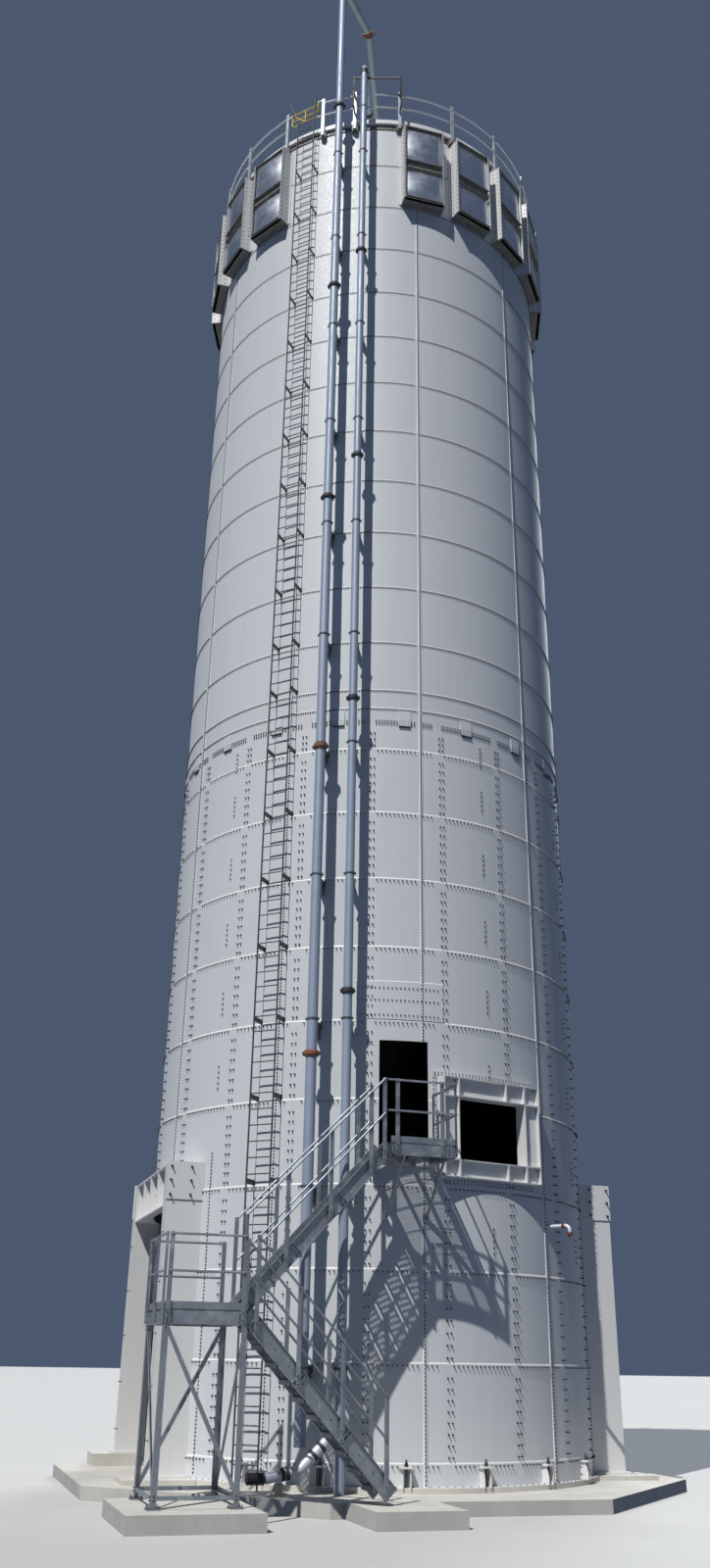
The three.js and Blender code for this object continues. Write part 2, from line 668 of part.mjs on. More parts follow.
// The branch that a delivery hose is coupled to, beside the foot of the small pipe
function fillConnector() {
  const riserFoot = at(SMALL.az, SMALL.r);
  const y = riserFoot.y;
  const knots = [
    new THREE.Vector3(riserFoot.x, y, BASE + 950),
    new THREE.Vector3(-2680, y, BASE + 300),
    new THREE.Vector3(-3270, y, BASE + 180),
  ];
  const parts = [tube(rounded(knots, 200, 3), SMALL.radius)];
  const end = knots[2].clone().add(new THREE.Vector3(5, 0, 0));
  const coupling = end.clone().add(new THREE.Vector3(-325, 0, 0));
  parts.push(tube([end, coupling], SMALL.radius + 14));
  parts.push(box([-3080, -2980], [y - 50, y + 50], [SLAB_TOP, BASE + 180]));
  parts.push(box([-3150, -2910], [y - 120, y + 120], [SLAB_TOP, SLAB_TOP + 20]));
  const clearance = uprightRound(riserFoot, SMALL.radius + 1.1 * GAP, SLAB_TOP, BASE + 1500);
  return joined(parts).subtract(clearance);
}

// A short sampling tap with its valve
function sampleValve() {
  const az = 33.3;
  const z = BASE + 4450;
  const knots = rounded([at(az, R - 100, z), at(az, R + 330, z), at(az, R + 330, z - 260)], 100, 3);
  const flange = boxAt(az, [-90, 90], [R - 60, R + 24], [z - 90, z + 90]);
  const valve = boxAt(az, [-75, 75], [R + 150, R + 230], [z - 75, z + 110]);
  return outside(joined([tube(knots, 55), flange, valve]));
}

// Stair

// A grating deck in a frame of channels
function framedDeck(x, y, top) {
  const { deep, wide } = CHANNEL;
  const z = [top - deep, top];
  return joined([
    box(x, y, [top - DECK, top]),
    box(x, [y[0], y[0] + wide], z),
    box(x, [y[1] - wide, y[1]], z),
    box([x[0], x[0] + wide], y, z),
    box([x[1] - wide, x[1]], y, z),
  ]);
}

// Four legs under the landing, with a foot strut and a diagonal brace on each side
function stairTower() {
  const { x, y, top } = LANDING;
  const legTop = top - CHANNEL.deep - GAP;
  const parts = [];
  const legX = [x[0] + LEG / 2, x[1] - LEG / 2];
  const legY = [y[0] + LEG / 2, y[1] - LEG / 2];
  const half = LEG / 2;
  const corners = [
    [legX[0], legY[0]],
    [legX[1], legY[0]],
    [legX[1], legY[1]],
    [legX[0], legY[1]],
  ];
  const low = BLOCK_TOP + 120;
  const high = top - CHANNEL.deep - 60;
  corners.forEach(([px, py], i) => {
    parts.push(box([px - half, px + half], [py - half, py + half], [BLOCK_TOP, legTop]));
    parts.push(box([px - 110, px + 110], [py - 110, py + 110], [BLOCK_TOP, BLOCK_TOP + 20]));
    const next = new THREE.Vector3(...corners[(i + 1) % 4], low);
    for (const z of [low, high]) parts.push(bar(new THREE.Vector3(px, py, z), next, BRACE.wide, BRACE.deep));
  });
  return joined(parts);
}

// The landing on the tower, with toe plates on the sides without a flight
function stairLanding() {
  const { x, y, top } = LANDING;
  const parts = [framedDeck(x, y, top)];
  const toeZ = [top - 1, top + TOE.high];
  parts.push(box(x, [y[0], y[0] + TOE.thick], toeZ));
  parts.push(box(x, [y[1] - TOE.thick, y[1]], toeZ));
  parts.push(box([x[0], x[0] + TOE.thick], y, toeZ));
  return joined(parts);
}

// One flight between two stringers, from its lower end to its upper end
function flight(y, from, to, risers, firstTread) {
  const dx = (to[0] - from[0]) / risers;
  const dz = (to[1] - from[1]) / risers;
  const length = Math.hypot(dx, dz);
  const normal = [(-dz / length) * Math.sign(dx), (dx / length) * Math.sign(dx)];
  const ends = [
    [from[0] - 2 * dx, from[1] - 2 * dz],
    [to[0] + 2 * dx, to[1] + 2 * dz],
  ];
  const shift = (end, by) => [end[0] + normal[0] * by, end[1] + normal[1] * by];
  const outline = [
    shift(ends[0], STRINGER.above),
    shift(ends[0], -STRINGER.below),
    shift(ends[1], -STRINGER.below),
    shift(ends[1], STRINGER.above),
  ];
  const points = dx > 0 ? outline : outline.reverse();
  const parts = [
    slab(points, [y[0], y[0] + STRINGER.thick]),
    slab(points, [y[1] - STRINGER.thick, y[1]]),
  ];
  const treadY = [y[0] + STRINGER.thick - 1, y[1] - STRINGER.thick + 1];
  for (let i = 1; i < risers; i += 1) {
    const back = from[0] + dx * (i + firstTread);
    const front = back - dx;
    const lap = TREAD.lap * Math.sign(dx);
    const x = [Math.min(front - lap, back), Math.max(front - lap, back)];
    const z = from[1] + dz * i;
    parts.push(box(x, treadY, [z - TREAD.thick, z]));
  }
  return joined(parts);
}

const LOWER_FOOT = [LANDING.x[1] + LOWER_RUN, BLOCK_TOP];
const LANDING_EDGE = [LANDING.x[1], LANDING.top];
const PLATFORM_EDGE = [PLATFORM.x[0], PLATFORM.top];

function lowerFlight() {
  const whole = flight(LOWER_Y, LOWER_FOOT, LANDING_EDGE, LOWER_RISERS, 1);
  return whole.intersect(box([LANDING.x[1] + GAP, 0], [-9000, 0], [BLOCK_TOP, 9000]));
}

function upperFlight() {
  const whole = flight(UPPER_Y, LANDING_EDGE, PLATFORM_EDGE, UPPER_RISERS, 1);
  return whole.intersect(box([LANDING.x[1] + GAP, PLATFORM.x[0] - GAP], [-9000, 0], [0, 9000]));
}

// A handrail beside a flight, from its foot to its head
function flightRail(y, from, to) {
  const a = new THREE.Vector3(from[0], y, from[1]);
  const b = new THREE.Vector3(to[0], y, to[1]);
  const whole = railing(a.clone().lerp(b, 0.05), a.clone().lerp(b, 0.95), [0.01, 0.34, 0.67, 0.99]);
  return whole.intersect(box([-9000, 0], [-9000, 0], [BLOCK_TOP, 9000]));
}

// A deck before the door, on two struts from the skirt
function doorPlatform() {
  const { x, y, top } = PLATFORM;
  const parts = [framedDeck(x, y, top)];
  const toeZ = [top - 1, top + TOE.high];
  parts.push(box(x, [y[0], y[0] + TOE.thick], toeZ));
  parts.push(box([x[1] - TOE.thick, x[1]], y, toeZ));
  for (const px of [-1150, -350]) {
    const from = new THREE.Vector3(px, y[0] + 350, top - 60);
    const to = new THREE.Vector3(px, -4480, BASE + 4250);
    parts.push(bar(from, to, 60, 60));
    parts.push(box([px - 90, px + 90], [-4760, -4500], [BASE + 4430, BASE + 4640]));
  }
  return outside(joined(parts));
}

addPiece("plinth_slab", plinthSlab(), concrete());
addPiece("stair_tower_block", box(TOWER_BLOCK.x, TOWER_BLOCK.y, [0, BLOCK_TOP]), concrete());
addPiece("stair_foot_block", box(FOOT_BLOCK.x, FOOT_BLOCK.y, [0, BLOCK_TOP]), concrete());

addPiece("skirt_front", skirtFront(), paintedSteel());
addPiece("skirt_back", skirtBack(), paintedSteel());
const leftSide = skirtMidSide([MID_BACK[1] - 360, DOOR_BAY[0]], [MID_BACK[1] - 360, -PORTAL_AZ]);
const rightSide = skirtMidSide([FRAME_BAY[1], MID_BACK[0]], [PORTAL_AZ, MID_BACK[0]]);
addPiece("skirt_mid_left", leftSide, paintedSteel());
addPiece("door_bay", doorBay(), paintedSteel());
addPiece("frame_bay", frameBay(), paintedSteel());
addPiece("skirt_mid_right", rightSide, paintedSteel());
addPiece("skirt_mid_back", wallStrip(...MID_BACK, SKIRT_LOW_TOP, SKIRT_MID_TOP), paintedSteel());
for (let i = 0; i < 4; i += 1) {
  const az = [QUARTERS[i], QUARTERS[i + 1]];
  addPiece(`skirt_upper_${i + 1}`, wallStrip(...az, SKIRT_MID_TOP, COMPRESSION_LOW), paintedSteel());
  addPiece(`shell_${i + 1}`, wallStrip(...az, COMPRESSION_TOP, VENT_BAND_LOW), paintedSteel());
  addPiece(`vent_band_${i + 1}`, ventBand(...az), paintedSteel());
}
addPiece("compression_ring", compressionRing(), paintedSteel());
addPiece("hopper_cone", hopperCone(), paintedSteel());
addPiece("equipment_floor", equipmentFloor(), paintedSteel());
addPiece("opening_frame", openingFrame(), paintedSteel());
addPiece("left_portal", portal(-1), paintedSteel());
addPiece("right_portal", portal(1), paintedSteel());

addPiece("eave_ring", eaveRing(), paintedSteel());
addPiece("roof_cone", roofCone(), paintedSteel());
const guards = GUARD_RUNS.map((run) => guardRail(run));
guards[0] = guards[0].add(gateLugs());
guards[3] = guards[3].add(gateStop());
guards.forEach((guard, i) => addPiece(`guard_rail_${i + 1}`, guard, galvanised()));
addPiece("roof_gate", roofGate(), gateYellow());
addPiece("roof_pipe_frame", roofPipeFrame(), galvanised());

addPiece("ladder", ladder(), galvanised());
addPiece("big_pipe_riser", riser(BIG, BIG_COUPLINGS), pipeSteel());
addPiece("small_pipe_riser", riser(SMALL, SMALL_COUPLINGS), pipeSteel());
addPiece("big_pipe_roof_run", bigRoofRun(), pipeSteel());
addPiece("small_pipe_roof_run", smallRoofRun(), pipeSteel());
addPiece("fill_connector", fillConnector(), pipeSteel());
addPiece("sample_valve", sampleValve(), valveRed());

addPiece("stair_tower", stairTower(), galvanised());
addPiece("stair_landing", stairLanding(), galvanised());
addPiece("lower_flight", lowerFlight(), galvanised());
addPiece("upper_flight", upperFlight(), galvanised());
addPiece("door_platform", doorPlatform(), galvanised());

const HALF_BAR = RAIL.bar / 2;
const flightRails = {
  lower_near_rail: [LOWER_Y[0] - HALF_BAR, LOWER_FOOT, LANDING_EDGE],
  lower_far_rail: [LOWER_Y[1] + HALF_BAR, LOWER_FOOT, LANDING_EDGE],
  upper_near_rail: [UPPER_Y[0] - HALF_BAR, LANDING_EDGE, PLATFORM_EDGE],
  upper_far_rail: [UPPER_Y[1] + HALF_BAR, LANDING_EDGE, PLATFORM_EDGE],
};
for (const [name, row] of Object.entries(flightRails)) addPiece(name, flightRail(...row), galvanised());

// The ends of each deck railing as x0, y0, x1, y1, and its posts as shares of its length
const left = LANDING.x[0] - HALF_BAR;
const front = LANDING.y[0] - HALF_BAR;
const back = LANDING.y[1] + HALF_BAR;
const platformFront = PLATFORM.y[0] - HALF_BAR;
const platformSide = PLATFORM.x[1] + HALF_BAR;
const deckRails = {
  landing_rail_front: [LANDING.top, [left + 50, front, LANDING.x[1] - 60, front], [0.02, 0.98]],
  landing_rail_back: [LANDING.top, [left + 50, back, LANDING.x[1] - 60, back], [0.02, 0.98]],
  landing_rail_left: [LANDING.top, [left, front, left, back], [0.03, 0.5, 0.97]],
  platform_rail_front: [PLATFORM.top, [-1240, platformFront, -160, platformFront], [0.02, 0.95]],
  platform_rail_side: [PLATFORM.top, [platformSide, platformFront, platformSide, -4790], [0.03, 0.96]],
};
for (const [name, [top, ends, posts]] of Object.entries(deckRails)) {
  const from = new THREE.Vector3(ends[0], ends[1], top);
  const to = new THREE.Vector3(ends[2], ends[3], top);
  addPiece(name, railing(from, to, posts), galvanised());
}

export default group;
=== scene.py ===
import math

import bpy
import numpy as np
from mathutils import Matrix, Vector


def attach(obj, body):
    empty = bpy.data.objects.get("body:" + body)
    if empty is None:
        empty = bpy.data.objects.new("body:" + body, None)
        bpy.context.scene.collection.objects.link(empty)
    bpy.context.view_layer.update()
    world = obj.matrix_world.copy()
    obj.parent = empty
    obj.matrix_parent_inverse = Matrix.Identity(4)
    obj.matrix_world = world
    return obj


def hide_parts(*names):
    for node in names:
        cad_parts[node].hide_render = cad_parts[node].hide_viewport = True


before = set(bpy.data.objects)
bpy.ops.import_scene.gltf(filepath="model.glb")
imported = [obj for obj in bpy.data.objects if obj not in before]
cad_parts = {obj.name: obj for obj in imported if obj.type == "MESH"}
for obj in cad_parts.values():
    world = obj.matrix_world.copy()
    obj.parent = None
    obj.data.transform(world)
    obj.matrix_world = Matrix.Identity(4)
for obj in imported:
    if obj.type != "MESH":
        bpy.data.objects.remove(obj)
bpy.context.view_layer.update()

# Sizes in metres, as in the part. Azimuths are in degrees, 0 at -Y and growing towards +X.
R = 4.665
WALL = 0.025
BASE = 0.30
SLAB_TOP = 0.22
BLOCK_TOP = 0.25
RING_LOW = BASE + 14.75
RING_TOP = BASE + 15.10
RIM = BASE + 33.65
EAVE_TOP = BASE + 33.99
FLAT_R = R * math.cos(math.radians(3))
UP = np.array([0, 0, 1.0])

# The courses' seams above the base, and how each course laps outside the one above it
LOW_SEAMS = [0.33, 1.92, 3.48, 4.97, 6.56, 8.10, 9.62, 11.10, 12.60, 14.10]
HIGH_SEAMS = [15.12, 15.58, 16.82, 18.31, 19.86, 21.37, 22.90, 24.44, 25.97, 27.49, 29.04, 30.60, 32.20]
LAP = 0.010
LOW_LAP = {"lip": 0.032, "bevel": 0.024}
HIGH_LAP = {"lip": 0.026, "bevel": 0.022}
COURSE = {"first": 0.63, "high": 1.526}

# Vertical joints: sheet laps all the way up, stiffeners inside the skirt, short rows between
JOINT_AZ = -5.1
SHEET_ARC = 36
TAB_ARC = 18
SHEET_JOINTS = [JOINT_AZ + SHEET_ARC * i for i in range(10)]
STIFFENERS = [1.2, 19.2, 37.2, 55.2, *range(72, 307, 18), 323.6, 342.35]
SHORT_ROWS = [13.4 + SHEET_ARC * i for i in range(10)]
PORTAL_ROWS = [-59.2, 59.2, 120.8, 239.2]

# How far apart the bolts are in each kind of row
FINE_PITCH = 0.065
SHELL_PITCH = 0.055
COARSE_PITCH = 0.09
STIFFENER_PITCH = 0.19
SHORT_PITCH = 0.11
FRAME_PITCH = 0.075

# The compression ring's foot and bolt rows above the base, the portals' flanks either side of
# the drive-through, and the seam at which the shell's bolts go on in a second piece
RING_FOOT = 14.72
RING_ROWS = (14.76, 14.83)
PORTAL_FLANK = 31.4
HIGH_SPLIT = 7

# Openings in the wall: azimuths and heights
DOOR = {"az": (-15.25, -3.25), "z": (BASE + 5.58, BASE + 7.74)}
FRAME = {"az": 13.4, "z": (BASE + 5.18, BASE + 7.07)}
FRAME_SPAN = (-0.90, 27.70)
DRIVE_SPANS = [(66, 114), (246, 294)]
DRIVE_TOP = BASE + 4.70
OPENINGS = [(DOOR["az"], DOOR["z"]), (FRAME_SPAN, FRAME["z"])]
OPENINGS += [(span, (-1, DRIVE_TOP)) for span in DRIVE_SPANS]
DOOR_BAND = {"az": (-21.2, 0.8), "z": (BASE + 8.16, BASE + 8.93), "rows": (8.25, 8.55, 8.80)}

PORTAL_OUT = 4.82
DRIVE_HALF = 1.83
PORTAL_HALF = 2.20
PORTAL_TOP = BASE + 5.50

VENT = {"half": 0.575, "out": FLAT_R + 0.33, "low": BASE + 30.68, "top": BASE + 33.50, "lip": 0.045}
VENT_PANELS = [(BASE + 30.75, BASE + 31.87), (BASE + 32.15, BASE + 33.38)]
VENT_AZ = [az for az in range(-57, 303, 18) if az not in (-39, -21)]
PANEL_RISE = 0.085
PANEL_COUNT = 17

STRAPS = [1.92, 4.97, 8.10, 11.10, 14.10, 16.82, 19.86, 22.90, 25.97, 29.04, 32.20]
BIG = {"az": -30.1, "r": R + 0.53, "radius": 0.106, "low": BASE + 0.62, "top": BASE + 39.30,
       "rusty": [7.36, 13.96], "couplings": [20.54, 27.26, 34.04]}
SMALL = {"az": -22.5, "r": R + 0.53, "radius": 0.091, "low": SLAB_TOP, "top": BASE + 35.68,
         "rusty": [], "couplings": [8.58, 15.10, 21.71, 28.40]}
BEND = 0.28
RISER_BELOW_TOP = 0.30
BIG_KNEE = (-1.42, -3.30, BIG["top"])
FILL = {"start": BASE + 0.95, "knee": (-2.68, BASE + 0.30), "end": (-3.27, BASE + 0.18), "foot": -3.03}
TAP = {"az": 32.5, "z": BASE + 4.45, "reach": R + 0.50, "drop": 0.19, "radius": 0.036}

LADDER = {"az": (-45.5, -39.5), "tips": (-49.1, -39.0), "r": R + 0.30, "rung": 0.3048, "top": BASE + 35.25}

GUARD = {"r": R + 0.125, "rails": (0.93, 0.41), "top": 1.08, "out": R + 0.152, "low": RIM - 0.08}
GUARD_RUNS = [
    ((-37.7, 59.3), (-37.2, -26, -10.7, 8.3, 27.7, 48.3)),
    ((59.3, 139.3), (69.3, 89.3, 109.3, 129.3)),
    ((139.3, 219.3), (149.3, 169.3, 189.3, 209.3)),
    ((219.3, 309.3), (229.3, 249.3, 269.3, 289.3, 308.8)),
]
GATE = {"hinge": -39.1, "tip": -49.3, "low": 0.42, "top": 1.04, "bars": (0.45, 0.69, 0.94)}

ROOF = {"slope": 0.1814, "edge": R + 0.06, "collar": 0.26, "collar_high": 0.09}
ROOF_STUB = {"r": 0.60, "radius": 0.13, "high": 0.08}

LOWER_Y = (-6.85, -6.12)
UPPER_Y = (-6.00, -5.27)
LANDING = {"x": (-5.50, -4.17), "y": (-6.88, -5.24), "top": BASE + 2.68}
PLATFORM = {"x": (-1.49, -0.25), "y": (-6.00, -4.62), "top": BASE + 5.56}
CHANNEL_DEEP = 0.22
STRINGER = {"above": 0.09, "deep": 0.25, "flange": 0.07, "thick": 0.010}
LOWER_FOOT = (LANDING["x"][1] + 2.60, BLOCK_TOP)
LANDING_EDGE = (LANDING["x"][1], LANDING["top"])
PLATFORM_EDGE = (PLATFORM["x"][0], PLATFORM["top"])
TREAD = {"nosing": 0.055, "lip": 0.070}
GRATING_PITCH = 0.034
RAIL_HEIGHTS = (0.55, 1.10)
RAIL_EDGE = 0.025
POST_BELOW = 0.20
POST_SHARES = (0.01, 0.34, 0.67, 0.99)

# A flight's rail: where it starts, its posts, and how much it is raised at its foot and head
LOWER_RAIL = (0.10, POST_SHARES, (0.15, 0.15))
UPPER_RAIL = (0.04, (0.0, 0.286, 0.597, 0.894, 0.995), (0.30, 0.14))
RAIL_END = 0.955
PLATFORM_RAIL = {"left": -1.55, "right": -0.28, "back": -4.79}

# Bolts by what they hold: the head's radius and height, and the length of the stud
HEADS = {
    "seam": (0.0155, 0.012, 0.034),
    "ring": (0.0155, 0.012, 0.012),
    "shell": (0.0165, 0.014, 0.014),
    "joint": (0.0155, 0.013, 0.010),
    "shell_joint": (0.0155, 0.013, 0),
    "stiffener": (0.018, 0.016, 0.032),
    "short_row": (0.016, 0.014, 0.028),
    "portal_row": (0.0155, 0.013, 0.012),
    "door_band": (0.015, 0.014, 0.014),
    "flange": (0.013, 0.012, 0.014),
    "tab": (0.019, 0.034, 0),
    "plain": (0.014, 0.012, 0),
    "header": (0.028, 0.022, 0.05),
    "column": (0.016, 0.014, 0.02),
    "frame": (0.014, 0.012, 0.012),
    "vent_face": (0.015, 0.010, 0),
    "vent_side": (0.015, 0.012, 0),
    "vent_band": (0.017, 0.016, 0),
    "vent_foot": (0.016, 0.016, 0),
    "roof": (0.013, 0.010, 0),
    "eave": (0.013, 0.014, 0),
    "guard": (0.014, 0.010, 0),
    "arm": (0.012, 0.010, 0),
    "ladder": (0.010, 0.010, 0),
    "clamp": (0.011, 0.012, 0),
    "rib": (0.012, 0.008, 0),
    "strap": (0.012, 0.012, 0),
    "ear": (0.020, 0.020, 0.03),
    "roof_ear": (0.024, 0.022, 0.02),
    "support": (0.014, 0.012, 0.02),
    "leg": (0.016, 0.014, 0.03),
    "stair": (0.014, 0.012, 0.010),
    "deck": (0.013, 0.012, 0),
    "post": (0.013, 0.012, 0.010),
}

CAMERA = {"place": (-9.06, -27.88, 2.293), "heading": 17.21, "pitch": 24.60, "roll": 0.97, "lens": 28.88}
SUN = {"az": -46, "height": 54, "energy": 3.8, "spread": 0.6, "colour": (1.0, 0.985, 0.955)}
BACK_SUN = {"az": 148, "height": 34, "energy": 1.5, "spread": 25, "colour": (0.90, 0.95, 1.0)}
SKY = {"colour": (0.36, 0.49, 0.78, 1), "strength": 0.20}
FLOOR = {"reach": 260, "z": -0.002}


# Places

def local(az, across, out, z):
    """A point, or an array of them, in the frame of an azimuth: across, out from the axis, up."""
    turn = np.radians(az)
    c, s = np.cos(turn), np.sin(turn)
    x, y, z = np.broadcast_arrays(across * c + out * s, across * s - out * c, z)
    return np.stack([x, y, z], -1)


def around(az, r, z):
    """A point, or an array of them, at an azimuth, a distance from the axis and a height."""
    return local(az, 0.0, r, z)


def outward_at(az):
    return around(az, 1.0, 0.0)


def foot_of(pipe):
    return around(pipe["az"], pipe["r"], 0.0)


def arc(length):
    """Degrees of azimuth for a length along the wall."""
    return math.degrees(length / R)


def off_from(az, first, pace):
    """How far along the wall an azimuth is from the nearest of a regular set."""
    return np.abs((az - first + pace / 2) % pace - pace / 2) * math.radians(R)


def steps(low, high, pitch):
    """Evenly spaced places between two ends, about one pitch apart."""
    return np.linspace(low, high, max(2, int(round((high - low) / pitch)) + 1))


def about(middle, half):
    """The two ends of a stretch about its middle."""
    return middle - half, middle + half


def pair(side, a, b):
    """Two distances to one side, in rising order."""
    return sorted((side * a, side * b))


def unit(vector):
    return vector / np.linalg.norm(vector)


# Meshes

class Build:
    """One mesh in the making, gathered from many parts."""

    def __init__(self):
        self.points, self.loops, self.sizes, self.smooth, self.finish = [], [], [], [], []
        self.count = 0

    def add(self, points, *groups, smooth=False, finish=0):
        """Points, and one or more groups of faces on them."""
        points = np.asarray(points, float).reshape(-1, 3)
        self.points.append(points)
        for faces in groups:
            faces = np.asarray(faces, np.int64)
            self.loops.append((faces + self.count).ravel())
            self.sizes.append(np.full(len(faces), faces.shape[1]))
            self.smooth.append(np.full(len(faces), smooth))
            self.finish.append(np.full(len(faces), finish))
        self.count += len(points)

    def made(self, name, finishes, slot, stands_for=(), body="root"):
        """The finished object, riding on its body."""
        sizes = np.concatenate(self.sizes)
        used, loops = np.unique(np.concatenate(self.loops), return_inverse=True)
        points = np.concatenate(self.points)[used]
        mesh = bpy.data.meshes.new(name)
        mesh.vertices.add(len(points))
        mesh.vertices.foreach_set("co", points.astype(np.float32).ravel())
        mesh.loops.add(len(loops))
        mesh.loops.foreach_set("vertex_index", loops.astype(np.int32).ravel())
        mesh.polygons.add(len(sizes))
        starts = np.concatenate([[0], np.cumsum(sizes)[:-1]])
        mesh.polygons.foreach_set("loop_start", starts.astype(np.int32))
        mesh.polygons.foreach_set("use_smooth", np.concatenate(self.smooth))
        mesh.polygons.foreach_set("material_index", np.concatenate(self.finish).astype(np.int32))
        mesh.update(calc_edges=True)
        for finish in finishes:
            mesh.materials.append(finish)
        piece = placed(name, mesh)
        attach(piece, body)
        if stands_for:
            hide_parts(*stands_for)


def placed(name, data):
    """A new object in the scene."""
    made = bpy.data.objects.new(name, data)
    bpy.context.scene.collection.objects.link(made)
    return made


def strip(n, closed=False):
    """Quads between two rows of n points."""
    i = np.arange(n if closed else n - 1)
    j = (i + 1) % n
    return np.stack([i, j, j + n, i + n], 1)


def strips(n, rows, closed=False):
    """Quads over a net of rows of n points."""
    return np.concatenate([strip(n, closed) + k * n for k in range(rows - 1)])


def circle(sides):
    turn = np.linspace(0, 2 * math.pi, sides, endpoint=False)
    return np.cos(turn)[:, None], np.sin(turn)[:, None]


def rect(x, y):
    return [(x[0], y[0]), (x[1], y[0]), (x[1], y[1]), (x[0], y[1])]


BOX_FACES = [[0, 3, 2, 1], [4, 5, 6, 7], [0, 1, 5, 4], [1, 2, 6, 5], [2, 3, 7, 6], [3, 0, 4, 7]]


def box(build, x, y, z, finish=0):
    build.add([(a, b, c) for c in z for a, b in rect(x, y)], BOX_FACES, finish=finish)


def box_at(build, az, across, out, z, finish=0):
    """A box in the local frame of an azimuth."""
    points = [local(az, a, b, c) for c in z for a, b in rect(across, out[::-1])]
    build.add(points, BOX_FACES, finish=finish)


def basis(start, end, side=None):
    """Unit vectors along a bar, to its side and square to both."""
    along = unit(np.asarray(end, float) - np.asarray(start, float))
    if side is None:
        side = np.cross((0, 0, 1) if abs(along[2]) < 0.99 else (1, 0, 0), along)
    side = np.asarray(side, float)
    side = unit(side - along * (side @ along))
    return along, side, np.cross(along, side)


def extrude(build, start, end, outline, side=None, finish=0):
    """A bar of any section between two points; the outline is in side and height."""
    _, side, high = basis(start, end, side)
    outline = np.asarray(outline, float)
    ring = outline[:, :1] * side + outline[:, 1:] * high
    points = np.concatenate([ring + start, ring + end])
    i = np.arange(len(outline))
    build.add(points, strip(len(i), True), finish=finish)
    build.add(points, [i[::-1], i + len(i)], finish=finish)


def bar(build, start, end, wide, deep, side=None, finish=0):
    outline = rect((-wide / 2, wide / 2), (-deep / 2, deep / 2))
    extrude(build, start, end, outline, side, finish)


def angle_section(wide, deep, thick):
    """An angle's outline, with its corner at the origin."""
    return [(0, 0), (wide, 0), (wide, thick), (thick, thick), (thick, deep), (0, deep)]


def channel_section(deep, flange, thick):
    """A channel's outline: web upright at 0, flanges towards the positive side."""
    h = deep / 2
    return [(0, -h), (flange, -h), (flange, thick - h), (thick, thick - h),
            (thick, h - thick), (flange, h - thick), (flange, h), (0, h)]


def mirrored(outline):
    return [(a, -b) for a, b in outline][::-1]


def round_bar(build, path, radius, sides=12, finish=0, side=None):
    """A round bar along a polyline, mitred at its corners."""
    path = np.asarray(path, float)
    radii = np.broadcast_to(radius, len(path))
    hops = np.diff(path, axis=0)
    hops /= np.linalg.norm(hops, axis=1)[:, None]
    tangents = np.concatenate([hops[:1], hops[1:] + hops[:-1], hops[-1:]])
    tangents /= np.linalg.norm(tangents, axis=1)[:, None]
    _, across, high = basis(path[0], path[0] + hops[0], side)
    c, s = circle(sides)
    rings = []
    for place, tangent, r in zip(path, tangents, radii):
        across = unit(across - tangent * (across @ tangent))
        high = np.cross(tangent, across)
        rings.append(place + r * (c * across + s * high))
    faces = strips(sides, len(path), True)
    build.add(np.concatenate(rings), faces, smooth=sides > 6, finish=finish)
    i = np.arange(sides)
    build.add(rings[0], [i[::-1]], finish=finish)
    build.add(rings[-1], [i], finish=finish)


def sleeve(build, centre, ahead, half, radius, sides=28, finish=1, side=None):
    """A short round band centred on a point of a pipe."""
    round_bar(build, [centre - ahead * half, centre + ahead * half], radius, sides, finish, side)


def bent(corners, radius, count=6):
    """A route with its corners rounded."""
    corners = [np.asarray(c, float) for c in corners]
    knots = [corners[0]]
    for before, corner, after in zip(corners, corners[1:], corners[2:]):
        u = unit(corner - before)
        v = unit(after - corner)
        turn = math.acos(max(-1, min(1, u @ v)))
        inward = unit(v - u * (u @ v))
        start = corner - u * radius * math.tan(turn / 2)
        for k in range(count + 1):
            a = turn * k / count
            knots.append(start + u * radius * math.sin(a) + inward * radius * (1 - math.cos(a)))
    knots.append(corners[-1])
    return knots


def upright(build, centre, rows, sides=28, finish=0):
    """A round upright form over a point; rows are (height, radius) from its foot up."""
    c, s = circle(sides)
    ring = np.concatenate([c, s, 0 * c], 1)
    levels = [centre + (0, 0, z) + r * ring for z, r in rows]
    for low, high in zip(levels, levels[1:]):
        build.add(np.concatenate([low, high]), strip(sides, True), smooth=True, finish=finish)
    i = np.arange(sides)
    build.add(levels[0], [i[::-1]], finish=finish)
    build.add(levels[-1], [i], finish=finish)


def turned(build, rows, az=(0, 360), finish=0, smooth=True, pace=2.0):
    """Bands turned about the silo's axis; rows are (radius, height) along the section."""
    places = steps(*az, pace)
    rings = [around(places, r, z) for r, z in rows]
    for low, high in zip(rings, rings[1:]):
        build.add(np.concatenate([low, high]), strip(len(places)), smooth=smooth, finish=finish)


def curved_plate(build, az, z, thick):
    """A plate bent to the wall, with its four edges."""
    section = rect((R - 0.012, R - 0.012 + thick), z)
    turned(build, section, az, pace=1.0)
    for place, order in zip(az, ([0, 1, 2, 3], [3, 2, 1, 0])):
        build.add([around(place, r, h) for r, h in section], [order])


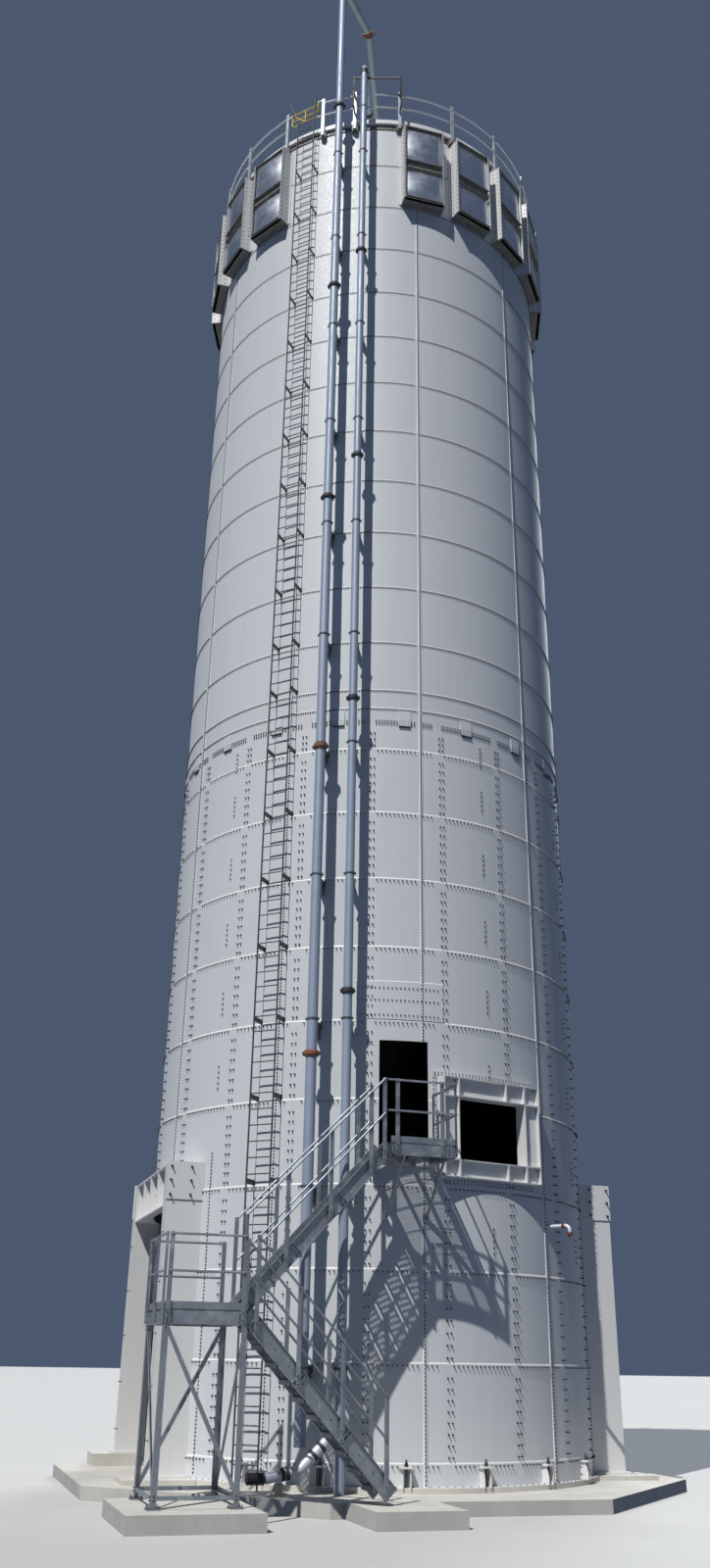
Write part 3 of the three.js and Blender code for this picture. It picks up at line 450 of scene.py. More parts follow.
def bolts(build, places, outward, kind, finish=0):
    """Hexagon heads on a surface, and the threaded ends of those with a stud."""
    radius, high, stud = HEADS[kind]
    places = np.asarray(places, float).reshape(-1, 3)
    if not len(places):
        return
    outward = np.broadcast_to(np.asarray(outward, float), places.shape)
    helper = np.where(np.abs(outward[:, 2:]) > 0.9, [[1.0, 0, 0]], [[0, 0, 1.0]])
    side = np.cross(helper, outward)
    side /= np.linalg.norm(side, axis=1)[:, None]
    third = np.cross(outward, side)

    def prisms(sides, r_low, r_top, low, top):
        c, s = circle(sides)
        ring = c[None] * side[:, None] + s[None] * third[:, None]
        base = places[:, None] + outward[:, None] * low + ring * r_low
        crown = places[:, None] + outward[:, None] * top + ring * r_top
        offset = (np.arange(len(places)) * 2 * sides)[:, None, None]
        walls = (strip(sides, True)[None] + offset).reshape(-1, 4)
        caps = (np.arange(sides, 2 * sides)[None, None] + offset).reshape(-1, sides)
        build.add(np.concatenate([base, crown], 1), walls, caps, finish=finish)

    prisms(6, radius, radius * 0.92, -0.003, high)
    if stud:
        prisms(5, radius * 0.55, radius * 0.5, high, high + stud)


def bolts_at(build, az, across, out, z, kind, finish=0):
    """Bolts that point away from the axis, in the local frame of an azimuth."""
    bolts(build, local(az, across, out, z), outward_at(az), kind, finish)


# Materials

class Look:
    """A material in the making."""

    def __init__(self, name, roughness, metallic=0.0):
        self.material = bpy.data.materials.new(name)
        self.material.use_nodes = True
        self.tree = self.material.node_tree
        self.shader = self.tree.nodes["Principled BSDF"]
        self.shader.inputs["Metallic"].default_value = metallic
        self.shader.inputs["Roughness"].default_value = roughness
        self.place = self.node("ShaderNodeTexCoord").outputs["Object"]

    def node(self, kind, inputs=None, **settings):
        made = self.tree.nodes.new(kind)
        for key, value in settings.items():
            setattr(made, key, value)
        for key, value in (inputs or {}).items():
            if isinstance(value, bpy.types.NodeSocket):
                self.tree.links.new(value, made.inputs[key])
            else:
                made.inputs[key].default_value = value
        return made

    def math(self, operation, *values):
        return self.node("ShaderNodeMath", dict(enumerate(values)), operation=operation).outputs[0]

    def noise(self, scale, detail=4.0, rough=0.55, where=None):
        inputs = {"Vector": where or self.place, "Scale": scale, "Detail": detail, "Roughness": rough}
        return self.node("ShaderNodeTexNoise", inputs).outputs[0]

    def streaks(self, scale, detail):
        """Noise drawn out along one direction."""
        stretched = self.node("ShaderNodeMapping", {"Vector": self.place, "Scale": scale}).outputs[0]
        return self.noise(1.0, detail, where=stretched)

    def cells(self, scale, output):
        return self.node("ShaderNodeTexVoronoi", {"Vector": self.place, "Scale": scale}).outputs[output]

    def ranged(self, value, low, high, to_low=0.0, to_high=1.0):
        inputs = {"Value": value, "From Min": low, "From Max": high, "To Min": to_low, "To Max": to_high}
        return self.node("ShaderNodeMapRange", inputs).outputs[0]

    def mix(self, factor, a, b):
        """Between two colours, each a socket or red, green and blue."""
        a, b = ((*v, 1.0) if isinstance(v, tuple) else v for v in (a, b))
        return self.node("ShaderNodeMix", {0: factor, 6: a, 7: b}, data_type="RGBA").outputs[2]

    def blend(self, a, b, value, *limits):
        return self.mix(self.ranged(value, *limits), a, b)

    def colour(self, value):
        self.tree.links.new(value, self.shader.inputs["Base Color"])

    def rough(self, value, *limits):
        self.tree.links.new(self.ranged(value, *limits), self.shader.inputs["Roughness"])

    def bump(self, height, strength, distance):
        node = self.node("ShaderNodeBump", {"Height": height, "Strength": strength, "Distance": distance})
        self.tree.links.new(node.outputs[0], self.shader.inputs["Normal"])


def painted_sheet(name, base, dirt, tone=0.05):
    """Off-white paint with a slight tone of its own on each sheet, faint streaks and weathering."""
    look = Look(name, 0.5)
    x, y, z = look.node("ShaderNodeSeparateXYZ", {0: look.place}).outputs
    turn = look.math("ARCTAN2", x, look.math("MULTIPLY", y, -1.0))
    turn = look.math("ADD", turn, math.radians(-JOINT_AZ))
    sheet = look.math("FLOOR", look.math("DIVIDE", turn, math.radians(SHEET_ARC)))
    rise = look.math("ADD", z, -COURSE["first"])
    course = look.math("FLOOR", look.math("DIVIDE", rise, COURSE["high"]))
    key = look.node("ShaderNodeCombineXYZ", {0: sheet, 1: course}).outputs[0]
    dice = look.node("ShaderNodeTexWhiteNoise", {0: key}).outputs[0]
    cloud = look.noise(0.9, 5)
    streaks = look.ranged(look.streaks((7, 7, 0.25), 5), 0.5, 0.78)
    shade = look.math("MULTIPLY", streaks, look.ranged(cloud, 0.35, 0.7, 0.3, 1.0))
    toned = look.blend(base, (0.62, 0.66, 0.70), dice, 0, 1, 0, tone)
    clouded = look.blend(toned, (0.66, 0.66, 0.64), cloud, 0.3, 0.75, 0.0, 0.10)
    look.colour(look.mix(look.math("MULTIPLY", shade, 0.20), clouded, dirt))
    look.rough(look.noise(14, 3), 0.3, 0.7, 0.42, 0.58)
    fine = look.math("MULTIPLY", look.noise(60, 2), 0.15)
    look.bump(look.math("ADD", fine, look.noise(1.3, 2)), 0.35, 0.004)
    return look.material


def galvanised_steel(name, base, dark, rough=0.42, metallic=0.75):
    """Zinc with its spangle, dull patches and a little white bloom."""
    look = Look(name, rough, metallic)
    grey = look.node("ShaderNodeRGBToBW", {0: look.cells(45.0, "Color")}).outputs[0]
    patches = look.noise(4.0, 6)
    tone = look.blend(base, dark, grey, 0, 1, 0, 0.45)
    look.colour(look.blend(tone, (0.70, 0.73, 0.76), patches, 0.55, 0.75, 0.0, 0.35))
    look.rough(patches, 0.3, 0.7, rough - 0.1, rough + 0.16)
    look.bump(look.math("ADD", look.math("MULTIPLY", grey, 0.4), look.noise(30, 3)), 0.15, 0.0015)
    return look.material


def dull_metal(name, base, worn, rough=0.55, metallic=0.4, scale=9.0):
    """Bare or coated metal with worn patches."""
    look = Look(name, rough, metallic)
    wear = look.noise(scale, 6, 0.62)
    look.colour(look.blend(base, worn, wear, 0.42, 0.62))
    look.rough(wear, 0.35, 0.65, rough - 0.08, rough + 0.15)
    look.bump(look.noise(scale * 6, 4), 0.25, 0.0015)
    return look.material


def tube_steel(name, base, streak):
    """Light metal tube, streaked down its length."""
    look = Look(name, 0.5, 0.2)
    look.colour(look.blend(base, streak, look.streaks((22, 22, 0.5), 5), 0.45, 0.75, 0.0, 0.55))
    look.rough(look.noise(2.2, 4), 0.3, 0.7, 0.42, 0.6)
    look.bump(look.noise(26, 3), 0.12, 0.001)
    return look.material


def cast_concrete(name):
    """Pale cast concrete with pores and stains."""
    look = Look(name, 0.9)
    speckle = look.noise(55, 3)
    pores = look.cells(26.0, "Distance")
    tone = look.blend((0.60, 0.585, 0.54), (0.46, 0.445, 0.41), look.noise(1.6, 7, 0.62), 0.32, 0.7)
    dusty = look.blend(tone, (0.70, 0.68, 0.63), speckle, 0.4, 0.65, 0.0, 0.35)
    look.colour(look.blend(dusty, (0.25, 0.24, 0.22), pores, 0.0, 0.10, 0.5, 0.0))
    grain = look.math("ADD", look.ranged(pores, 0.0, 0.12), look.math("MULTIPLY", speckle, 0.5))
    look.bump(grain, 0.35, 0.006)
    return look.material


def polished_panel(name):
    """Polished vent panel, softly brushed."""
    look = Look(name, 0.36, 1.0)
    brushed = look.streaks((3, 3, 60), 4)
    look.colour(look.blend((0.62, 0.66, 0.73), (0.54, 0.585, 0.66), brushed, 0.3, 0.7))
    look.rough(look.noise(5, 4), 0.3, 0.7, 0.32, 0.42)
    look.bump(brushed, 0.05, 0.001)
    return look.material


def pale_floor(name):
    look = Look(name, 0.85)
    look.colour(look.blend((0.52, 0.52, 0.51), (0.55, 0.55, 0.54), look.noise(0.4, 3), 0.3, 0.7))
    return look.material


PAINT = painted_sheet("white_paint", (0.63, 0.655, 0.68), (0.36, 0.38, 0.40))
BEAD = painted_sheet("lap_edges", (0.84, 0.84, 0.83), (0.6, 0.6, 0.59), 0.0)
PLATE = painted_sheet("white_plate", (0.70, 0.705, 0.70), (0.40, 0.40, 0.39), 0.0)
INSIDE = dull_metal("inside_steel", (0.10, 0.10, 0.105), (0.06, 0.06, 0.065), 0.7, 0.1)
# Bolt heads are near-black: dark sealing washers, and painted shade for the shadows the heads and studs cast
# on the wall.
BOLT_DARK_AND_SHADE = dull_metal("bolts", (0.035, 0.036, 0.040), (0.08, 0.08, 0.085), 0.55, 0.3)
# Dark steel for the ladder and the pipe straps, partly painted shade for rails and rings that are seen in
# shade.
DARK_STEEL_AND_SHADE = dull_metal("dark_steel_and_painted_shade", (0.06, 0.064, 0.072), (0.13, 0.14, 0.15), 0.55, 0.3)
ZINC = galvanised_steel("galvanised", (0.31, 0.345, 0.39), (0.15, 0.17, 0.20))
ZINC_DARK = galvanised_steel("galvanised_dull", (0.22, 0.245, 0.28), (0.12, 0.14, 0.165), 0.5, 0.6)
POST = galvanised_steel("galvanised_pale", (0.50, 0.52, 0.55), (0.38, 0.40, 0.43), 0.5, 0.35)
TUBE = tube_steel("pipe", (0.32, 0.38, 0.48), (0.25, 0.31, 0.40))
TUBE_PALE = tube_steel("fill_pipe", (0.66, 0.70, 0.76), (0.50, 0.54, 0.60))
TUBE_ROOF = tube_steel("roof_pipe", (0.36, 0.42, 0.42), (0.27, 0.31, 0.31))
# Black for rubber, couplings and sleeves, and painted shadow on the bolts under the ring plates.
BLACK_AND_SHADOW = dull_metal("black_rubber_and_painted_shadow", (0.018, 0.018, 0.02), (0.04, 0.04, 0.045), 0.6, 0.0)
RUST = dull_metal("rusty_coupling", (0.30, 0.12, 0.055), (0.13, 0.055, 0.03), 0.75, 0.2, 30)
# Dark olive plate for the vent bands and small dark parts, also used as painted shade on the vents'
# undersides and on the band under the eave.
DARK_AND_SHADE = dull_metal("dark_flanges_and_painted_shade", (0.17, 0.165, 0.145), (0.26, 0.25, 0.22), 0.6, 0.2)
PANEL = polished_panel("vent_panel")
CONCRETE = cast_concrete("concrete")
YELLOW = dull_metal("yellow_paint", (0.72, 0.55, 0.03), (0.50, 0.37, 0.03), 0.45, 0.0, 14)
RED = dull_metal("red_paint", (0.17, 0.035, 0.03), (0.08, 0.025, 0.02), 0.35, 0.0, 18)
STAIR_FINISHES = [ZINC, ZINC_DARK, BOLT_DARK_AND_SHADE]


# Walls

def in_opening(az, z, margin=0.0, margin_z=0.0):
    """Where the wall has no sheet: the door, the framed opening and the drive-through."""
    hit = np.zeros(np.broadcast(az, z).shape, bool)
    for (left, right), (low, high) in OPENINGS:
        turn = (az - left + 180) % 360 - 180
        inside = (turn > -margin) & (turn < right - left + margin)
        hit |= inside & (z > low - margin_z) & (z < high + margin_z)
    return hit


def course_rows(low, top, seams, lap):
    """The outside of the courses: the head of each one lies over the foot of the next."""
    rows = []
    z = low
    inner = R - LAP
    for seam in seams:
        lip = BASE + seam + lap["lip"]
        rows.append((z, inner, lip, R))
        rows.append((lip, R, lip + lap["bevel"], inner))
        z = lip + lap["bevel"]
    rows.append((z, inner, top, inner))
    return rows


def wall(build, rows, extra_z=()):
    """The outer skin, the inner skin and the reveals of the openings."""
    places = set(np.arange(0, 361, 2.0))
    for span, _ in OPENINGS:
        places |= {a % 360 for a in span}
    az = np.array(sorted(places))
    n = len(az)
    i = np.arange(n - 1)
    middle = (az[1:] + az[:-1]) / 2
    split = []
    for z0, r0, z1, r1 in rows:
        cuts = [z0] + [z for z in sorted(extra_z) if z0 + 1e-6 < z < z1 - 1e-6] + [z1]
        radii = np.interp(cuts, (z0, z1), (r0, r1))
        split += list(zip(cuts, radii, cuts[1:], radii[1:]))
    below = np.zeros(n - 1, bool)
    inner = R - WALL
    for z0, r0, z1, r1 in split:
        solid = ~in_opening(middle, (z0 + z1) / 2)
        quads = strip(n)[solid]
        outside = np.concatenate([around(az, r0, z0), around(az, r1, z1)])
        build.add(outside, quads, smooth=True, finish=1 if r1 < r0 else 0)
        inside = np.concatenate([around(az, inner, z0), around(az, inner, z1)])
        build.add(inside, quads[:, ::-1], smooth=True, finish=2)
        ring = np.concatenate([around(az, r0, z0), around(az, inner, z0)])
        for flips, order in ((below & ~solid, (0, 1, 1 + n, n)), (~below & solid, (n, 1 + n, 1, 0))):
            cells = i[flips]
            if len(cells):
                build.add(ring, np.stack([cells + k for k in order], 1))
        before = np.roll(solid, 1)
        for edges, order in ((before & ~solid, [0, 1, 2, 3]), (~before & solid, [3, 2, 1, 0])):
            for a in az[:-1][edges]:
                quad = [around(a, r, z) for r, z in ((r0, z0), (inner, z0), (inner, z1), (r1, z1))]
                build.add(quad, [order])
        below = solid
    _, _, top, r = split[-1]
    build.add(np.concatenate([around(az, r, top), around(az, inner, top)]), strip(n))


def numbered(stem):
    return [f"{stem}_{k}" for k in (1, 2, 3, 4)]


def skirt_and_shell():
    skirt = Build()
    wall(skirt, course_rows(BASE, RING_LOW, LOW_SEAMS, LOW_LAP), [*DOOR["z"], *FRAME["z"], DRIVE_TOP])
    skirt.made("skirt_wall", [PAINT, BEAD, INSIDE], "white_steel", [
        "skirt_front", "skirt_back", "skirt_mid_left", "door_bay", "frame_bay", "skirt_mid_right",
        "skirt_mid_back", *numbered("skirt_upper")])
    shell = Build()
    wall(shell, course_rows(RING_LOW, RIM, HIGH_SEAMS, HIGH_LAP))
    shell.made("shell_wall", [PAINT, PAINT, INSIDE], "white_steel",
               ["compression_ring", *numbered("shell"), *numbered("vent_band")])


def spans_beside(az, low, high):
    """The stretches of an upright line that lie on sheet."""
    z = np.arange(low, high, 0.02)
    free = ~in_opening(az, z, 0.3, 0.02)
    edges = np.flatnonzero(np.diff(np.concatenate([[False], free, [False]]).astype(int)))
    return [(z[a], z[min(b, len(z) - 1)]) for a, b in edges.reshape(-1, 2)]


def upright_laps():
    """At each vertical joint one sheet's edge lies over the next, with a sealed edge."""
    laps = Build()
    section = [(0.0, -0.012), (0.018, 0.003), (0.085, 0.003), (0.105, -0.012)]
    for az in SHEET_JOINTS:
        for low, high in spans_beside(az, BASE, RIM):
            places = [(az + arc(a), R + r) for a, r in section]
            for k, (first, second) in enumerate(zip(places, places[1:])):
                foot = [around(*first, low), around(*second, low)]
                head = [around(*second, high), around(*first, high)]
                laps.add(foot + head, [[0, 1, 2, 3]], finish=1 if k == 0 else 0)
    laps.made("upright_laps", [PAINT, BEAD], "white_steel")


def ring_plates():
    """The plates over the compression ring, the band over the door and the opening's flange."""
    plates = Build()
    for az in np.arange(9, 360, TAB_ARC):
        half = arc(0.135)
        curved_plate(plates, about(az, half), (BASE + RING_FOOT, RING_TOP - 0.02), 0.026)
        # These bolts are black, painted shadow for the row of shadows under each plate's lower edge.
        bolts_at(plates, az, steps(-0.112, 0.112, 0.045), R - 0.004, BASE + 14.70, "tab", 2)
    band, (low, high) = DOOR_BAND["az"], DOOR_BAND["z"]
    curved_plate(plates, band, (low, high), 0.020)
    turned(plates, [(R + 0.008, high), (R - 0.010, high + 0.015)], band, 1)
    low, high = FRAME["z"]
    left, right = FRAME_SPAN
    whole = (left - arc(0.13), right + 0.4)
    for az, z in ((whole, (high, high + 0.12)), (whole, (low - 0.15, low)), ((whole[0], left), (low, high))):
        curved_plate(plates, az, z, 0.018)
    plates.made("wall_plates", [PAINT, BEAD, BLACK_AND_SHADOW], "white_steel")


def wall_bolts():
    """Rows along every ring seam, joint and stiffener, in four pieces to keep each one light."""
    seams, low, middle, high = Build(), Build(), Build(), Build()

    def row(build, z, pitch, kind, gaps=True):
        az = np.arange(0, 360, arc(pitch))
        keep = ~in_opening(az, z, 0.4, 0.05) & (off_from(az, JOINT_AZ, SHEET_ARC) > 0.05)
        if gaps:
            keep &= off_from(az, 0, TAB_ARC) > 0.10
        bolts_at(build, az[keep], 0, R + 0.001, z, kind)

    def column(build, az, z, kind, out=-0.006, margin=1.0, margin_z=0.06):
        z = z[~in_opening(az, z, margin, margin_z)]
        bolts_at(build, az, 0, R + out, z, kind)

    for seam in LOW_SEAMS:
        row(seams, BASE + seam - 0.005, COARSE_PITCH, "seam")
    for z in RING_ROWS:
        row(seams, BASE + z, FINE_PITCH, "ring")
    for count, seam in enumerate(HIGH_SEAMS):
        build = middle if count < HIGH_SPLIT else high
        row(build, BASE + seam - 0.004, SHELL_PITCH, "shell", gaps=False)
    for az in SHEET_JOINTS:
        place = az + arc(0.045)
        column(low, place, np.arange(BASE + 0.05, RING_TOP, FINE_PITCH), "joint", 0.003, 0.3, 0.02)
        column(high, place, np.arange(RING_TOP + 0.05, RIM - 0.05, FINE_PITCH), "shell_joint", 0.003)
    bounds = [0.0, *LOW_SEAMS, RING_FOOT]
    courses = list(zip(bounds, bounds[1:]))
    for az in STIFFENERS:
        for start, end in courses:
            if end - start < 0.5:
                continue
            z = BASE + steps(start + 0.13, end - 0.20, STIFFENER_PITCH)
            for side in (-1, 1):
                column(low, az + side * arc(0.040), z, "stiffener")
    for az in SHORT_ROWS:
        beside_portal = abs(abs(az % 180 - 90) - PORTAL_FLANK) < 4
        for start, end in courses[5 if beside_portal else 3:]:
            column(low, az, BASE + (start + end) / 2 - 0.15 + SHORT_PITCH * np.arange(-2, 3), "short_row")
    for az in PORTAL_ROWS:
        column(low, az, np.arange(BASE + 0.10, PORTAL_TOP + 0.25, FINE_PITCH), "portal_row")
    for z in DOOR_BAND["rows"]:
        bolts_at(low, np.arange(-20.6, 0.4, 1.05), 0, R + 0.008, BASE + z, "door_band")
    flange = FRAME_SPAN[0] - arc(0.065)
    z0, z1 = FRAME["z"]
    for z in (z1 + 0.035, z1 + 0.085, z0 - 0.045, z0 - 0.10):
        bolts_at(low, np.arange(flange, FRAME_SPAN[1], arc(FRAME_PITCH)), 0, R + 0.006, z, "flange")
    for az in about(flange, 0.3):
        bolts_at(low, az, 0, R + 0.006, np.arange(z0, z1, FRAME_PITCH), "flange")
    seams.made("skirt_seam_bolts", [BOLT_DARK_AND_SHADE], "galvanised_steel")
    low.made("skirt_bolts", [BOLT_DARK_AND_SHADE], "galvanised_steel")
    middle.made("shell_bolts_low", [BOLT_DARK_AND_SHADE], "galvanised_steel")
    high.made("shell_bolts_high", [BOLT_DARK_AND_SHADE], "galvanised_steel")


# Foundation, chairs and portals

def dress(node, finish, bevel=0.0):
    """Gives a CAD node its material, with its edges eased."""
    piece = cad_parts[node]
    piece.data.materials.clear()
    piece.data.materials.append(finish)
    if bevel:
        ease = piece.modifiers.new("eased_edges", "BEVEL")
        ease.width = bevel
        ease.segments = 2
        ease.limit_method = "ANGLE"


def foundation():
    for node in ("plinth_slab", "stair_tower_block", "stair_foot_block"):
        dress(node, CONCRETE, 0.012)


def anchor_chairs():
    """A base ring with its bolts, and a chair of two gussets and a plate over each anchor."""
    chairs = Build()
    top = BASE + 0.33
    ring_top = BASE + 0.014
    gusset = [(R - 0.02, BASE), (R + 0.15, BASE), (R + 0.15, BASE + 0.12),
              (R + 0.10, top - 0.03), (R - 0.02, top - 0.03)]
    rods = [(10, [(BASE, 0.017), (top + 0.11, 0.017)]), (6, [(top, 0.036), (top + 0.035, 0.036)]),
            (6, [(top + 0.035, 0.034), (top + 0.06, 0.034)])]
    for first in (0, 180):
        span = about(first, 60)
        turned(chairs, rect((R - 0.01, R + 0.11), (BASE, ring_top)), span)
        for az in np.arange(first - 45, first + 46, 18):
            for across in (-0.075, 0.06):
                points = [local(az, across + t, r, z) for t in (0, 0.015) for r, z in gusset]
                chairs.add(points, strip(5, True))
                chairs.add(points, [[4, 3, 2, 1, 0], [5, 6, 7, 8, 9]])
            box_at(chairs, az, (-0.11, 0.11), (R - 0.02, R + 0.165), (top - 0.03, top))
            for sides, rows in rods:
                upright(chairs, around(az, R + 0.09, 0.0), rows, sides, 1)
        az = np.arange(span[0] + 1, span[1], arc(0.15))
        bolts(chairs, around(az, R + 0.06, ring_top), UP, "plain", 1)
    chairs.made("anchor_chairs", [PLATE, BOLT_DARK_AND_SHADE], "white_steel")


def portals():
    for node in ("left_portal", "right_portal"):
        dress(node, PLATE, 0.004)
    fixings = Build()
    for side, end in rect((-1, 1), (-1, 1)):
        for z in PORTAL_TOP - np.array([0.07, 0.33, 0.60]):
            places = [(side * x, end * (PORTAL_HALF + 0.02), z) for x in (4.36, 4.76)]
            bolts(fixings, places, (0, end, 0), "header")
        for z in np.arange(BASE + 0.6, PORTAL_TOP - 0.9, 0.9):
            places = [(side * PORTAL_OUT, end * y, z) for y in (DRIVE_HALF + 0.05, PORTAL_HALF - 0.05)]
            bolts(fixings, places, (side, 0, 0), "column")
    fixings.made("portal_bolts", [BOLT_DARK_AND_SHADE], "galvanised_steel")


def opening_frame():
    dress("opening_frame", PLATE, 0.003)
    dress("equipment_floor", INSIDE)
    fixings = Build()
    low, high = FRAME["z"]
    z = np.array([low + 0.06, low + 0.27, high - 0.27, high - 0.06])
    for across in (-1.09, -0.86, 0.86, 1.09):
        bolts_at(fixings, FRAME["az"], across, FLAT_R + 0.01, z, "frame")
    fixings.made("opening_bolts", [BOLT_DARK_AND_SHADE], "galvanised_steel")


def hopper():
    cone = Build()
    seat = R - 0.17
    low = BASE + 7.20
    turned(cone, [(0.31, low), (seat, RING_TOP), (seat - 0.03, RING_TOP), (0.28, low), (0.31, low)], pace=4)
    ring = rect((seat, R - WALL), (RING_LOW, RING_TOP))
    turned(cone, [*ring, ring[0]], pace=4)
    cone.made("hopper", [INSIDE], "white_steel", ["hopper_cone"])


# Vents

def vent_box(frames, fixings, az):
    """A box with a plain band above and below each panel, and its rows of bolts."""
    half, out, low, top, lip = (VENT[k] for k in ("half", "out", "low", "top", "lip"))
    back = out - 0.07
    away = outward_at(az)
    for side in (-1, 1):
        box_at(frames, az, pair(side, half, half - 0.012), (R - 0.06, out), (low, top))
        box_at(frames, az, pair(side, half, half - lip), (out - 0.012, out), (low, top))
        box_at(frames, az, pair(side, half, half + 0.05), (R - 0.055, R - 0.02), (low + 0.05, top - 0.05))
        z = np.arange(low + 0.06, top, 0.12)
        bolts_at(fixings, az, side * (half - 0.013), out, z, "vent_face")
        bolts_at(fixings, az, side * (half - 0.033), out, z + 0.06, "vent_face")
        z = np.arange(low + 0.1, top, 0.16)
        for r, rise in ((R + 0.10, 0.0), (out - 0.06, 0.08)):
            bolts(fixings, local(az, side * half, r, z + rise), local(az, side, 0, 0), "vent_side")
    # The box's bottom and top plates take the dark finish, painted shade for plates that are seen from
    # below.
    for z in (low, top - 0.012):
        box_at(frames, az, (-half, half), (R - 0.10, out - 0.02), (z, z + 0.012), 1)
    inner = (lip - half, half - lip)
    (first, second), (third, fourth) = VENT_PANELS
    bands = [(low, first), (second, third), (fourth, top)]
    for band in bands:
        box_at(frames, az, inner, (back - 0.03, back), band, 1)
    for z0, z1 in bands[:2]:
        box_at(frames, az, inner, (back, out + 0.004), (z1 - 0.012, z1), 1)
        box_at(frames, az, inner, (back, out - 0.010), (z0, z0 + 0.012), 1)
        across = steps(-half + 0.09, half - 0.09, 0.10)
        bolts(fixings, local(az, across, back, (z0 + z1) / 2), away, "vent_band", 1)
        bolts(fixings, local(az, across + 0.03, out - 0.035, z0), -UP, "vent_foot")


def vents():
    """Boxes with two domed panels each, between beams of folded plate."""
    frames, panels, fixings = Build(), Build(), Build()
    ticks = np.linspace(-1, 1, PANEL_COUNT)
    across, up = np.meshgrid(ticks, ticks)
    rise = PANEL_RISE * (1 - across ** 2) * (1 - up ** 2)
    lower, (low, high) = VENT_PANELS
    for az in VENT_AZ:
        vent_box(frames, fixings, az)
        for z0, z1 in (lower, (low, high + 0.08)):
            z = (z0 + z1) / 2 + up * (z1 - z0) / 2
            points = local(az, across * (VENT["half"] - VENT["lip"]), VENT["out"] - 0.085 + rise, z)
            panels.add(points, strips(PANEL_COUNT, PANEL_COUNT), smooth=True)
    frames.made("vent_frames", [PLATE, DARK_AND_SHADE], "white_steel")
    panels.made("vent_panels", [PANEL], "white_steel")
    fixings.made("vent_bolts", [BOLT_DARK_AND_SHADE, ZINC], "galvanised_steel")


# Roof

def roof_at(r):
    return EAVE_TOP + ROOF["slope"] * (ROOF["edge"] - r)


CROWN = roof_at(ROOF["collar"]) + ROOF["collar_high"]
STUB_TOP = roof_at(ROOF_STUB["r"]) + ROOF_STUB["high"]


def roof():
    """Sheets with standing laps, the collar at the middle and the small pipe's stub."""
    roof = Build()
    edge, collar_r = ROOF["edge"], ROOF["collar"]
    under = EAVE_TOP - 0.04
    turned(roof, [(edge - 0.05, under), (edge, under), (edge, EAVE_TOP), (collar_r, roof_at(collar_r)),
                  (collar_r, CROWN), (0.15, CROWN)], smooth=False)
    turned(roof, [(collar_r + 0.06, CROWN - 0.02), (collar_r + 0.06, CROWN), (0.11, CROWN)], smooth=False)
    turned(roof, [(edge - 0.05, under), (0.3, roof_at(0.3) - 0.04)], finish=1)
    for k in range(20):
        az = JOINT_AZ + 18 * k
        start, end = (around(az, r, roof_at(r) + 0.006) for r in (edge - 0.01, 0.36))
        bar(roof, start, end, 0.07, 0.014)
        r = np.arange(0.45, edge - 0.04, 0.12)
        bolts(roof, around(az, r, roof_at(r) + 0.013), UP, "roof", 2)
    bolts(roof, around(np.arange(0, 360, 2.4), edge - 0.05, roof_at(edge - 0.05)), UP, "roof", 2)
    rows = [(STUB_TOP - 0.11, 0.115), (STUB_TOP - 0.02, 0.115),
            (STUB_TOP - 0.02, ROOF_STUB["radius"]), (STUB_TOP, ROOF_STUB["radius"])]
    upright(roof, around(SMALL["az"], ROOF_STUB["r"], 0.0), rows, 24)
    bolts(roof, around(np.arange(0, 360, 30), 0.29, CROWN), UP, "plain", 2)
    roof.made("roof_sheets", [PAINT, INSIDE, BOLT_DARK_AND_SHADE], "white_steel", ["roof_cone"])


def eave():
    eave = Build()
    top = EAVE_TOP - 0.04
    inner, outer = R - 0.06, R + 0.012
    # The band under the fascia and the eave's inner face take the dark finish, painted shade for the recess
    # under the fascia's overhang.
    turned(eave, [(inner, RIM), (outer, RIM), (outer, top - 0.14)], finish=1)
    turned(eave, [(outer, top - 0.14), (R + 0.062, top - 0.145), (R + 0.076, top - 0.13),
                  (R + 0.078, top - 0.06), (R + 0.078, top - 0.01), (R + 0.066, top), (inner, top)])
    turned(eave, [(inner, top), (inner, RIM)], finish=1)
    for z in (RIM + 0.04, RIM + 0.10):
        bolts_at(eave, np.arange(0, 360, arc(0.09)), 0, outer, z, "eave", 2)
    eave.made("eave", [BEAD, DARK_AND_SHADE, BOLT_DARK_AND_SHADE], "white_steel", ["eave_ring"])


